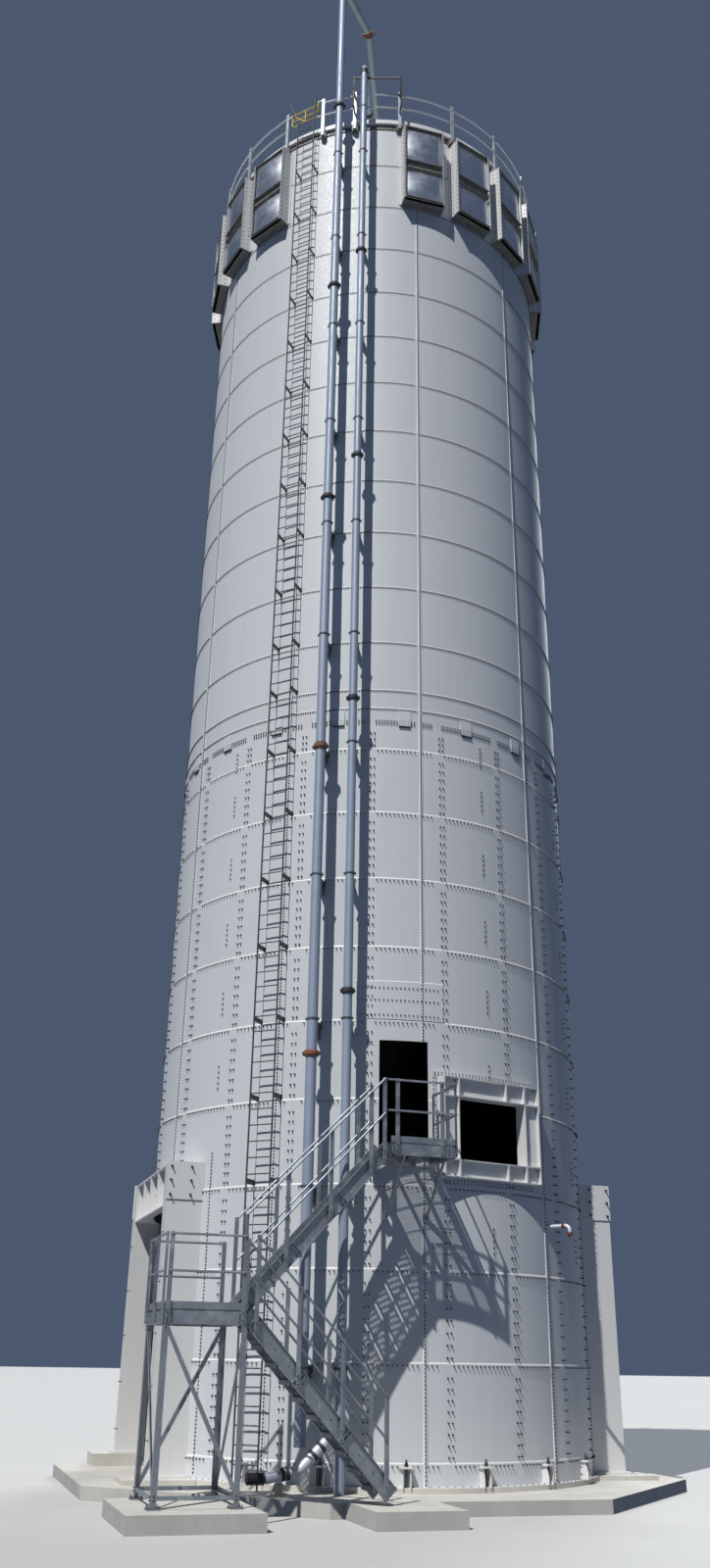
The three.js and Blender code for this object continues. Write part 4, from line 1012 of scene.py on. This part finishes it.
def guard_rails():
    rails = Build()
    low, out, r = GUARD["low"], GUARD["out"], GUARD["r"]
    heights = [EAVE_TOP + high for high in GUARD["rails"]]
    for (first, last), posts in GUARD_RUNS:
        for z in heights:
            round_bar(rails, around(steps(first, last, 2.0), r, z), 0.024, 10, side=UP)
        for az in posts:
            foot = around(az, out, low)
            head = around(az, out, EAVE_TOP + GUARD["top"])
            extrude(rails, foot, head, channel_section(0.09, 0.045, 0.008), -outward_at(az))
            bolts_at(rails, az, 0.0, out, np.array(heights), "guard", 1)
            box_at(rails, az, (-0.08, 0.08), (R - 0.01, R + 0.10), (low - 0.02, low + 0.14), 2)
            for side in (-0.025, 0.025):
                bolts_at(rails, az, side, out, low + np.array([0.02, 0.10]), "plain", 1)
    hinge_post = GUARD_RUNS[0][1][0]
    across = math.radians(GATE["hinge"] - hinge_post) * r
    for z in (GATE["low"] - 0.0124, GATE["top"] + 0.0004):
        lug = (EAVE_TOP + z, EAVE_TOP + z + 0.012)
        box_at(rails, hinge_post, (across - 0.025, -0.04), about(r, 0.02), lug)
    last_post = GUARD_RUNS[3][1][4]
    across = math.radians(GATE["tip"] + 360 - last_post) * r
    stop = (EAVE_TOP + GATE["top"] - 0.20, EAVE_TOP + GATE["top"] - 0.14)
    box_at(rails, last_post, (0.04, across + 0.025), (out - 0.0015, out + 0.0065), stop)
    rails.made("guard_rails", [POST, BOLT_DARK_AND_SHADE, DARK_AND_SHADE], "galvanised_steel", numbered("guard_rail"))


def roof_gate():
    gate = Build()
    hinge = around(GATE["hinge"], GUARD["r"], EAVE_TOP)
    tip = around(GATE["tip"], GUARD["r"], EAVE_TOP)
    low, middle, high = GATE["bars"]
    reach = tip - hinge
    along = unit(reach)
    loop = [hinge + UP * high, tip + UP * high, tip + UP * low, hinge + UP * low]
    round_bar(gate, bent(loop, 0.07), 0.019)
    round_bar(gate, [hinge + UP * middle, tip + UP * middle], 0.017)
    round_bar(gate, [hinge + UP * GATE["low"], hinge + UP * GATE["top"]], 0.020, 14)
    centre = hinge + reach * 0.5
    round_bar(gate, [centre + UP * low, centre + UP * high], 0.016, 10)
    bar(gate, centre + along * 0.02 + UP * (low + 0.05), tip - along * 0.04 + UP * (high - 0.05), 0.02, 0.03)
    for share in (0.12, 0.88):
        place = hinge + reach * share + UP * (middle + high) / 2
        bar(gate, place - UP * 0.12, place + UP * 0.12, 0.012, 0.07, along)
    sleeve(gate, hinge + UP * (GATE["low"] + 0.12), UP, 0.05, 0.0205, 14)
    gate.made("gate_bars", [YELLOW, BLACK_AND_SHADOW], "gate_yellow", ["roof_gate"], "roof_gate")


def pipe_goalpost():
    """A frame on two guard rail posts, which holds the small pipe."""
    post = Build()
    r, beam_z = R + 0.42, (BASE + 35.27, BASE + 35.37)
    ends = GUARD_RUNS[0][1][1:3]
    start, end = (around(az, r, sum(beam_z) / 2) for az in ends)
    extrude(post, start, end, channel_section(0.075, 0.03, 0.008))
    for az in ends:
        foot, head = around(az, r, EAVE_TOP + 0.15), around(az, r, beam_z[1])
        extrude(post, foot, head, channel_section(0.05, 0.03, 0.006), outward_at(az))
        for z in (EAVE_TOP + 0.21, EAVE_TOP + 0.89):
            bar(post, around(az, GUARD["out"] - 0.01, z), around(az, r, z), 0.04, 0.06)
            bolts_at(post, az, 0, r + 0.03, z, "arm")
    collar(post, SMALL, beam_z, 0)
    box_at(post, SMALL["az"], (-0.04, 0.04), (r - 0.02, SMALL["r"] - SMALL["radius"]), beam_z)
    post.made("pipe_goalpost", [BLACK_AND_SHADOW], "galvanised_steel", ["roof_pipe_frame"])


# Ladder and pipes

def ladder():
    """Two flat stringers that flare out over the eave, rungs, and brackets at every seam."""
    rails = Build()
    r = LADDER["r"]
    feet = [around(az, r, 0.0) for az in LADDER["az"]]
    middle = sum(LADDER["az"]) / 2
    half = np.linalg.norm(feet[1] - feet[0]) / 2
    across = unit(feet[1] - feet[0])
    section = rect((0, 0.012), (-0.025, 0.025))
    for foot, tip_az, inward in zip(feet, LADDER["tips"], (1, -1)):
        knee = foot + UP * (EAVE_TOP + 0.35)
        extrude(rails, foot + UP * SLAB_TOP, knee, section, across * inward)
        extrude(rails, knee - UP * 0.02, around(tip_az, r, LADDER["top"]), section, across * inward)
    for z in np.arange(BASE + LADDER["rung"], EAVE_TOP + 0.3, LADDER["rung"]):
        round_bar(rails, [foot + UP * z for foot in feet], 0.0125, 8)
    for seam in [*LOW_SEAMS[1:], *HIGH_SEAMS[1:]]:
        z = BASE + seam + 0.095
        for side in (-half, half):
            box_at(rails, middle, about(side, 0.006), (R - 0.03, r + 0.01), about(z, 0.05))
            box_at(rails, middle, about(side, 0.03), (R - 0.06, R - 0.008), about(z, 0.05))
            bolts_at(rails, middle, side + np.array([-0.018, 0.018]), R - 0.008, z, "ladder")
    # The ladder takes the dark steel finish, partly painted shade for its rails' shaded faces.
    rails.made("ladder_rails", [DARK_STEEL_AND_SHADE], "galvanised_steel", ["ladder"])


def collar(build, pipe, z, finish, ear=0.05):
    """A clamp ring round a pipe, with a bolted ear at each side."""
    az, r, radius = pipe["az"], pipe["r"], pipe["radius"]
    upright(build, foot_of(pipe), [(z[0], radius + 0.012), (z[1], radius + 0.012)], 28, finish)
    middle = sum(z) / 2
    for side in (-1, 1):
        across = pair(side, radius, radius + ear)
        box_at(build, az, across, about(r, 0.012), about(middle, 0.025), finish)
        bolts_at(build, az, side * (radius + ear * 0.65), r + 0.012, middle, "clamp", finish)


def coupling(build, pipe, z, finish):
    """A grooved coupling: a ribbed band with a bolt ear at each side."""
    az, out, r = pipe["az"], pipe["r"], pipe["radius"]
    grooves = [(-0.058, 1.10), (-0.052, 1.30), (-0.030, 1.40), (0.030, 1.40), (0.052, 1.30), (0.058, 1.10)]
    upright(build, foot_of(pipe), [(z + rise, r * swell) for rise, swell in grooves], 32, finish)
    rib = r * 1.40
    for spot in np.radians(range(15, 375, 30)):
        place = local(az, rib * math.cos(spot), out + rib * math.sin(spot), z)
        away = local(az, math.cos(spot), math.sin(spot), 0.0)
        bolts(build, place - away * 0.006, away, "rib", finish)
    for side in (-1, 1):
        across = pair(side, r * 1.1, r * 1.62)
        box_at(build, az, across, about(out, 0.030), about(z, 0.034), finish)
        bolts_at(build, az, side * r * 1.45, out + 0.030, z, "ear", 3)


def straps(build, pipe, finish):
    """Clamps on gusset brackets, under the seams."""
    az = pipe["az"]
    for strap in STRAPS:
        top = BASE + strap - 0.05
        collar(build, pipe, (top - 0.034, top), finish, 0.035)
        near, far = R - 0.03, pipe["r"] - pipe["radius"] + 0.01
        gusset = [(near, top), (far, top), (far, top - 0.05), (near, top - 0.34)]
        for side in (-0.03, 0.03):
            points = [local(az, side + t, r, z) for t in (-0.004, 0.004) for r, z in gusset]
            build.add(points, BOX_FACES, finish=finish)
        box_at(build, az, (-0.06, 0.06), (R - 0.02, R + 0.012), (top - 0.10, top + 0.04), finish)
        bolts_at(build, az, 0, R + 0.012, np.array([top - 0.08, top + 0.02]), "strap", finish)


def riser(name, pipe, node, joint=None):
    """A wall pipe with its straps and couplings, the lower ones rusty on the big pipe."""
    tube = Build()
    r = pipe["radius"]
    upright(tube, foot_of(pipe), [(pipe["low"], r), (pipe["top"] - RISER_BELOW_TOP, r)], 36)
    # The straps take the dark steel finish, partly painted shade for their small shadows.
    straps(tube, pipe, 3)
    for z in pipe["rusty"]:
        coupling(tube, pipe, BASE + z, 2)
    for z in pipe["couplings"]:
        coupling(tube, pipe, BASE + z, 1)
    if joint:
        upright(tube, foot_of(pipe), [(joint - 0.02, r * 1.10), (joint + 0.02, r * 1.10)], 28, 3)
    tube.made(name, [TUBE, BLACK_AND_SHADOW, RUST, DARK_STEEL_AND_SHADE], "pipe_steel", [node])


def big_roof_pipe():
    """From the riser's head over the roof to its middle, with a coupling in the sloping run."""
    big = Build()
    r = BIG["radius"]
    foot, top = foot_of(BIG), UP * BIG["top"]
    route = [foot + top - UP * RISER_BELOW_TOP, foot + top, BIG_KNEE, top, UP * CROWN]
    round_bar(big, bent(route, BEND, 8), r, 32, side=(1, 0, 0))
    centre = np.array(BIG_KNEE)
    ahead = unit(top - (foot + top))
    bands = [(0.074, 1.05), (0.068, 1.15), (0.03, 1.15), (0.025, 1.08)]
    bands = [(-t, swell) for t, swell in bands] + bands[::-1]
    round_bar(big, [centre + ahead * t for t, _ in bands], np.array([s for _, s in bands]) * r, 28, 1)
    side = np.cross(ahead, UP)
    for way in (-1, 1):
        ear = centre + side * way * r * 1.45
        bar(big, ear - ahead * 0.05, ear + ahead * 0.05, 0.08, 0.07, finish=1)
        for high in (-0.035, 0.035):
            bolts(big, ear + UP * high, UP * math.copysign(1, high), "roof_ear", 2)
    round_bar(big, [UP * CROWN, UP * (CROWN + 0.03)], 0.20, 28, 3)
    bolts(big, around(np.arange(0, 360, 45), 0.165, CROWN + 0.03), UP, "plain", 2)
    big.made("big_roof_pipe", [TUBE_ROOF, RUST, ZINC, PLATE], "pipe_steel", ["big_pipe_roof_run"])


def small_roof_pipe():
    """From the riser's head to the stub on the roof, with its sleeves."""
    small = Build()
    az, out, r, top = SMALL["az"], SMALL["r"], SMALL["radius"], SMALL["top"]
    route = [around(az, out, top - RISER_BELOW_TOP), around(az, out, top),
             around(az, ROOF_STUB["r"], top), around(az, ROOF_STUB["r"], STUB_TOP)]
    round_bar(small, bent(route, BEND, 8), r, 32, side=(1, 0, 0))
    for share in (0.35, 0.72):
        middle = out + (ROOF_STUB["r"] - out) * share
        ring = [around(az, middle + t, top) for t in (-0.06, -0.055, 0.055, 0.06)]
        round_bar(small, ring, np.array([1.08, 1.24, 1.24, 1.08]) * r, 24, 1)
    for z in (top - 0.32, top - 0.27):
        upright(small, foot_of(SMALL), [(z, r * 1.09), (z + 0.02, r * 1.09)], 28, 1)
    small.made("small_roof_pipe", [TUBE, BLACK_AND_SHADOW], "pipe_steel", ["small_pipe_roof_run"])


def fill_pipe():
    """The small pipe's slanting foot with its sleeves, a ribbed hose end and a support."""
    fill = Build()
    x, y, _ = foot_of(SMALL)
    path = ((x, FILL["start"]), FILL["knee"], FILL["end"])
    route = [np.array([along, y, z]) for along, z in path]
    r = SMALL["radius"]
    level = (0, 1, 0)
    round_bar(fill, bent(route, 0.25), r * 0.98, 32, side=level)
    slope = route[1] - route[0]
    for share in (0.30, 0.47, 0.66):
        sleeve(fill, route[0] + slope * share, unit(slope), 0.030, r * 1.08, side=level)
    last = unit(route[2] - route[1])
    for t in (0.22, 0.30):
        sleeve(fill, route[1] + last * t, last, 0.03, r * 1.16, side=level)
    ends = [route[2][0] - 0.02 - 0.044 * k for k in range(7)]
    ribs = [(end - t, y, route[2][2]) for end in ends for t in (0.0, 0.018, 0.022, 0.040)]
    round_bar(fill, ribs, np.array([0.098, 0.098, 0.086, 0.086] * len(ends)), 28, 1, level)
    foot = FILL["foot"]
    for half, top in ((0.05, BASE + 0.12), (0.12, SLAB_TOP + 0.02)):
        box(fill, about(foot, half), about(y, half), (SLAB_TOP, top), 2)
    places = [(*corner, SLAB_TOP + 0.02) for corner in rect(about(foot, 0.09), about(y, 0.09))]
    bolts(fill, places, UP, "support", 3)
    fill.made("fill_pipe", [TUBE_PALE, BLACK_AND_SHADOW, DARK_AND_SHADE, BOLT_DARK_AND_SHADE], "pipe_steel", ["fill_connector"])


def sample_tap():
    """A bent tube with a wall flange, a dark red band and a cap."""
    tap = Build()
    az, z = TAP["az"], TAP["z"]
    tip = around(az, TAP["reach"], z - TAP["drop"])
    route = [around(az, R - 0.03, z), around(az, TAP["reach"], z), tip]
    round_bar(tap, bent(route, 0.09), TAP["radius"], 20)
    round_bar(tap, [around(az, R - 0.01, z), around(az, R + 0.02, z)], 0.09, 24)
    for spot in np.radians(np.arange(30, 390, 60)):
        bolts_at(tap, az, 0.07 * math.cos(spot), R + 0.02, z + 0.07 * math.sin(spot), "clamp", 2)
    band = [around(az, R + out, z) for out in (0.33, 0.34, 0.39, 0.40)]
    round_bar(tap, band, np.array([0.038, 0.048, 0.048, 0.038]), 20, 1)
    cap = [(0.08, 0.034), (0.065, 0.050), (0.03, 0.056), (0.0, 0.046), (-0.02, 0.024)]
    round_bar(tap, [tip + UP * t for t, _ in cap], np.array([r for _, r in cap]), 20, 1)
    tap.made("sample_tap", [TUBE_PALE, RED, BOLT_DARK_AND_SHADE], "valve_red", ["sample_valve"])


# Stair

def grating(build, x, y, top, finish):
    """Open grating: upright bars side by side, thin rods across them and a deeper bar now and then."""
    for place in steps(x[0] + 0.01, x[1] - 0.01, GRATING_PITCH):
        box(build, about(place, 0.0018), y, (top - 0.024, top), finish)
    for pitch, half, z in ((GRATING_PITCH, 0.0022, (-0.006, -0.001)), (0.21, 0.003, (-0.030, -0.006))):
        for place in steps(y[0] + 0.01, y[1] - 0.01, pitch):
            box(build, x, about(place, half), (top + z[0], top + z[1]), finish)


def framed_deck(build, x, y, top, toes):
    """A grating in a frame of channels, with toe plates over the grating's edge."""
    edge = 0.030
    deep = CHANNEL_DEEP - edge
    z = top - edge - deep / 2
    section = channel_section(deep, 0.065, 0.008)
    grating(build, (x[0] + 0.006, x[1] - 0.006), (y[0] + 0.006, y[1] - 0.006), top, 1)
    a, b, c, d = rect(x, y)
    for start, end, inward in ((a, b, (0, 1, 0)), (d, c, (0, -1, 0)), (a, d, (1, 0, 0)), (b, c, (-1, 0, 0))):
        extrude(build, (*start, z), (*end, z), section, inward)
    for share in (0.34, 0.67):
        place = x[0] + (x[1] - x[0]) * share
        bar(build, (place, y[0] + 0.01, top - 0.075), (place, y[1] - 0.01, top - 0.075), 0.05, 0.08)
    sides = {"front": (x, (y[0], y[0] + 0.006)), "back": (x, (y[1] - 0.006, y[1])),
             "left": ((x[0], x[0] + 0.006), y), "right": ((x[1] - 0.006, x[1]), y)}
    for toe in toes:
        box(build, *sides[toe], (top + 0.001, top + 0.106))
    for t in steps(x[0] + 0.05, x[1] - 0.05, GRATING_PITCH):
        box(build, about(t, 0.006), (y[0] + 0.001, y[0] + 0.006), (top - 0.024, top - 0.010))
    for corner, way in ((x[0], 1), (x[1], -1)):
        places = [(corner + way * a, y[0], top - b) for a in (0.05, 0.13) for b in (0.07, 0.12, 0.18)]
        bolts(build, places, (0, -1, 0), "frame", 2)


def stair_tower():
    """Four angle legs with foot plates, and a low strut and a diagonal on each side."""
    tower = Build()
    leg_top = LANDING["top"] - CHANNEL_DEEP
    corners = rect(LANDING["x"], LANDING["y"])
    for (px, py), (way_x, way_y) in zip(corners, rect((1, -1), (1, -1))):
        section = angle_section(0.09, 0.09, 0.009)
        if way_x * way_y < 0:
            section = mirrored(section)
        extrude(tower, (px, py, BLOCK_TOP), (px, py, leg_top), section, (way_x, 0, 0))
        cx, cy = px + way_x * 0.045, py + way_y * 0.045
        box(tower, about(cx, 0.11), about(cy, 0.11), (BLOCK_TOP, BLOCK_TOP + 0.02))
        fixings = [(cx + a, cy + b, BLOCK_TOP + 0.02) for a in (-0.08, 0.08) for b in (-0.08, 0.08)]
        bolts(tower, fixings, UP, "leg", 2)
    brace = mirrored(angle_section(0.06, 0.045, 0.006))
    low, high = BLOCK_TOP + 0.12, leg_top - 0.06
    for start, end in zip(corners, corners[1:] + corners[:1]):
        start, end = np.array([*start, 0.0]), np.array([*end, 0.0])
        along = unit(end - start)
        out = np.cross(along, UP)
        a, b = start + along * 0.045 - out * 0.010, end - along * 0.045 - out * 0.010
        extrude(tower, a + UP * high, b + UP * low, brace, UP)
        extrude(tower, a + UP * low, b + UP * low, brace, UP)
        for place, z in ((a, high), (b, low), (a, low)):
            bolts(tower, [place + out * 0.010 + UP * (z + k) for k in (0.0, 0.05)], out, "stair", 2)
    tower.made("stair_tower_legs", STAIR_FINISHES, "galvanised_steel", ["stair_tower"])


def landing():
    deck = Build()
    x, y, top = LANDING["x"], LANDING["y"], LANDING["top"]
    framed_deck(deck, x, y, top, ("front", "back", "left"))
    for shift in (0.25, 0.75, 1.25):
        places = [(x[0], y[0] + shift, top - depth) for depth in (0.08, 0.16)]
        bolts(deck, places, (-1, 0, 0), "deck", 2)
    deck.made("landing_deck", STAIR_FINISHES, "galvanised_steel", ["stair_landing"])


def clipped(start, end, axis, place):
    """The point where a sloping line meets a place along one axis."""
    return start + (end - start) * (place - start[axis]) / (end[axis] - start[axis])


def flight(name, y, start, end, risers, node, foot=None):
    """Perforated treads between two channel stringers whose flanges point outwards."""
    stair = Build()
    dx = (end[0] - start[0]) / risers
    dz = (end[1] - start[1]) / risers
    sign = math.copysign(1, dx)
    normal = np.array([-dz * sign, 0, abs(dx)]) / math.hypot(dx, dz)
    deep, flange, thick = STRINGER["deep"], STRINGER["flange"], STRINGER["thick"]
    centre = normal * (STRINGER["above"] - deep / 2)
    for edge, out in ((y[0], -1), (y[1], 1)):
        web = edge - out * flange
        a = np.array([start[0], web, start[1]]) + centre
        b = np.array([end[0], web, end[1]]) + centre
        side = np.array([0, out, 0.0])
        lower = clipped(a, b, 2, foot) if foot else a
        upper = clipped(a, b, 0, end[0])
        extrude(stair, lower, upper, channel_section(deep, flange, thick), side)
        reach = normal * (deep / 2 - thick)
        for share in POST_SHARES:
            place = a + (b - a) * (0.05 + 0.9 * share) + side * flange / 2
            for shift in (-0.034, 0.034):
                spot = place + unit(b - a) * shift
                if lower[2] + 0.05 < spot[2] < upper[2] - 0.05:
                    bar(stair, spot - reach, spot + reach, flange - 0.004, 0.006, side)
    inner = (y[0] + flange + 0.002, y[1] - flange - 0.002)
    for i in range(1, risers):
        back = start[0] + dx * (i + 1)
        x = sorted((back - dx - TREAD["nosing"] * sign, back))
        z = start[1] + dz * i
        for place in steps(x[0] + 0.013, x[1] - 0.013, 0.051):
            box(stair, about(place, 0.0125), inner, (z - 0.004, z), 1)
        for place in steps(inner[0] + 0.013, inner[1] - 0.013, 0.055):
            box(stair, x, about(place, 0.013), (z - 0.0045, z - 0.0005), 1)
        for edge in (x[0], x[1] - 0.004):
            box(stair, (edge, edge + 0.004), inner, (z - TREAD["lip"], z + 0.001), 1)
        for edge in (inner[0], inner[1] - 0.005):
            box(stair, x, (edge, edge + 0.005), (z - TREAD["lip"], z))
        middle = (x[0] + x[1]) / 2
        for edge, out in ((y[0], -1), (y[1], 1)):
            places = [(middle + k, edge - out * (flange - 0.001), z - 0.05) for k in (-0.095, 0.095)]
            bolts(stair, places, (0, out, 0), "stair", 2)
    stair.made(name, STAIR_FINISHES, "galvanised_steel", [node])


def rail_bay(node, start, end, shares, out, foot=-1.0, lift=(0.0, 0.0)):
    """Two rails on angle posts that are bolted outside a walkway's edge."""
    build = Build()
    start, end, out = (np.asarray(v, float) for v in (start, end, out))
    run = end - start
    level = unit(run * (1, 1, 0))
    top = RAIL_HEIGHTS[1]
    for high in RAIL_HEIGHTS:
        first, last = (UP * (high + rise * high / top) for rise in lift)
        round_bar(build, [start + first, end + last], 0.0195)
    side = level if np.cross(UP, level) @ out > 0 else -level
    section = [(a - 0.0325, b) for a, b in angle_section(0.065, 0.045, 0.006)]
    for share in shares:
        place = start + run * share
        raised = lift[0] + (lift[1] - lift[0]) * share
        x, y, z = place - out * 0.02
        low = max(z - POST_BELOW, foot)
        extrude(build, (x, y, low), (x, y, z + top + raised + 0.03), section, side)
        heights = [high + raised * high / top for high in RAIL_HEIGHTS]
        for rise in (-0.04, 0.04 - POST_BELOW, *heights):
            bolts(build, place + UP * rise + out * 0.002, out, "post", 1)
    build.made(node + "_bars", [ZINC, BOLT_DARK_AND_SHADE], "galvanised_steel", [node])


def stair_rails():
    flights = {
        "lower_near_rail": (LOWER_Y[0], LOWER_FOOT, LANDING_EDGE, -1, LOWER_RAIL),
        "lower_far_rail": (LOWER_Y[1], LOWER_FOOT, LANDING_EDGE, 1, LOWER_RAIL),
        "upper_near_rail": (UPPER_Y[0], LANDING_EDGE, PLATFORM_EDGE, -1, UPPER_RAIL),
        "upper_far_rail": (UPPER_Y[1], LANDING_EDGE, PLATFORM_EDGE, 1, UPPER_RAIL),
    }
    for node, (y, low, high, out, (first, shares, lift)) in flights.items():
        a, b = (np.array([x, y + out * RAIL_EDGE, z]) for x, z in (low, high))
        rail_bay(node, a + (b - a) * first, a + (b - a) * RAIL_END, shares, (0, out, 0), BLOCK_TOP, lift)
    left, right = LANDING["x"][0] - RAIL_EDGE, LANDING["x"][1] - 0.06
    front, back = LANDING["y"][0] - RAIL_EDGE, LANDING["y"][1] + RAIL_EDGE
    level, floor = LANDING["top"], PLATFORM["top"]
    p_front, p_side = PLATFORM["y"][0] - RAIL_EDGE, PLATFORM["x"][1] + RAIL_EDGE
    p_left, p_right, p_back = (PLATFORM_RAIL[k] for k in ("left", "right", "back"))
    decks = {
        "landing_rail_front": ((left + 0.05, front, level), (right, front, level), (0.02, 0.98), (0, -1, 0)),
        "landing_rail_back": ((left + 0.05, back, level), (right, back, level), (0.02, 0.98), (0, 1, 0)),
        "landing_rail_left": ((left, front, level), (left, back, level), (0.03, 0.5, 0.97), (-1, 0, 0)),
        "platform_rail_front": (
            (p_left, p_front, floor), (p_right, p_front, floor), (0.136, 0.817), (0, -1, 0)),
        "platform_rail_side": ((p_side, p_front, floor), (p_side, p_back, floor), (0.03, 0.96), (1, 0, 0)),
    }
    for node, bay in decks.items():
        rail_bay(node, *bay)


def door_platform():
    """The deck before the door, on two slanting angles that stand on wall plates."""
    deck = Build()
    top, wall_y = PLATFORM["top"], -4.60
    framed_deck(deck, PLATFORM["x"], PLATFORM["y"], top, ("front", "right"))
    for x in (-1.15, -0.35):
        start, end = (x, PLATFORM["y"][0] + 0.35, top - 0.16), (x, wall_y, BASE + 4.38)
        extrude(deck, start, end, angle_section(0.06, 0.06, 0.007), (1, 0, 0), 1)
        box(deck, about(x, 0.05), (wall_y - 0.09, wall_y), (BASE + 4.36, BASE + 4.50), 1)
        bolts(deck, [(x + a, wall_y - 0.09, BASE + 4.43) for a in (-0.03, 0.03)], (0, -1, 0), "stair", 2)
    deck.made("platform_deck", STAIR_FINISHES, "galvanised_steel", ["door_platform"])


# Stage

def towards(az, height):
    """A unit vector from an azimuth on the ground and a height in degrees."""
    az, height = math.radians(az), math.radians(height)
    return Vector((math.sin(az) * math.cos(height), -math.cos(az) * math.cos(height), math.sin(height)))


def add_camera():
    heading, roll = math.radians(CAMERA["heading"]), math.radians(CAMERA["roll"])
    ahead = towards(180 - CAMERA["heading"], CAMERA["pitch"])
    level = Vector((math.cos(heading), -math.sin(heading), 0))
    over = level.cross(ahead)
    right = level * math.cos(roll) + over * math.sin(roll)
    up = over * math.cos(roll) - level * math.sin(roll)
    data = bpy.data.cameras.new("camera")
    data.lens = CAMERA["lens"]
    data.clip_end = 500
    camera = placed("camera", data)
    turn = Matrix((right, up, -ahead)).transposed().to_4x4()
    camera.matrix_world = Matrix.Translation(CAMERA["place"]) @ turn
    bpy.context.scene.camera = camera


def add_sun(name, sun):
    data = bpy.data.lights.new(name, "SUN")
    data.energy = sun["energy"]
    data.angle = math.radians(sun["spread"])
    data.color = sun["colour"]
    lamp = placed(name, data)
    lamp.rotation_mode = "QUATERNION"
    lamp.rotation_quaternion = towards(sun["az"], sun["height"]).to_track_quat("Z", "Y")


def add_light():
    add_sun("key_light", SUN)
    add_sun("back_light", BACK_SUN)
    world = bpy.data.worlds.new("studio")
    world.use_nodes = True
    background = world.node_tree.nodes["Background"]
    background.inputs["Color"].default_value = SKY["colour"]
    background.inputs["Strength"].default_value = SKY["strength"]
    bpy.context.scene.world = world
    bpy.context.scene.view_settings.view_transform = "Standard"


def add_floor():
    mesh = bpy.data.meshes.new("floor")
    reach = (-FLOOR["reach"], FLOOR["reach"])
    mesh.from_pydata([(*corner, FLOOR["z"]) for corner in rect(reach, reach)], [], [(0, 1, 2, 3)])
    mesh.materials.append(pale_floor("floor"))
    floor = placed("floor", mesh)
    floor.visible_diffuse = False


add_camera()
add_light()
add_floor()
foundation()
skirt_and_shell()
upright_laps()
ring_plates()
wall_bolts()
anchor_chairs()
portals()
opening_frame()
hopper()
vents()
roof()
eave()
guard_rails()
roof_gate()
pipe_goalpost()
ladder()
riser("big_riser_pipe", BIG, "big_pipe_riser")
riser("small_riser_pipe", SMALL, "small_pipe_riser", BASE + 33.88)
big_roof_pipe()
small_roof_pipe()
fill_pipe()
sample_tap()
stair_tower()
landing()
flight("lower_stair", LOWER_Y, LOWER_FOOT, LANDING_EDGE, 11, "lower_flight", BLOCK_TOP + 0.13)
flight("upper_stair", UPPER_Y, LANDING_EDGE, PLATFORM_EDGE, 12, "upper_flight")
stair_rails()
door_platform()
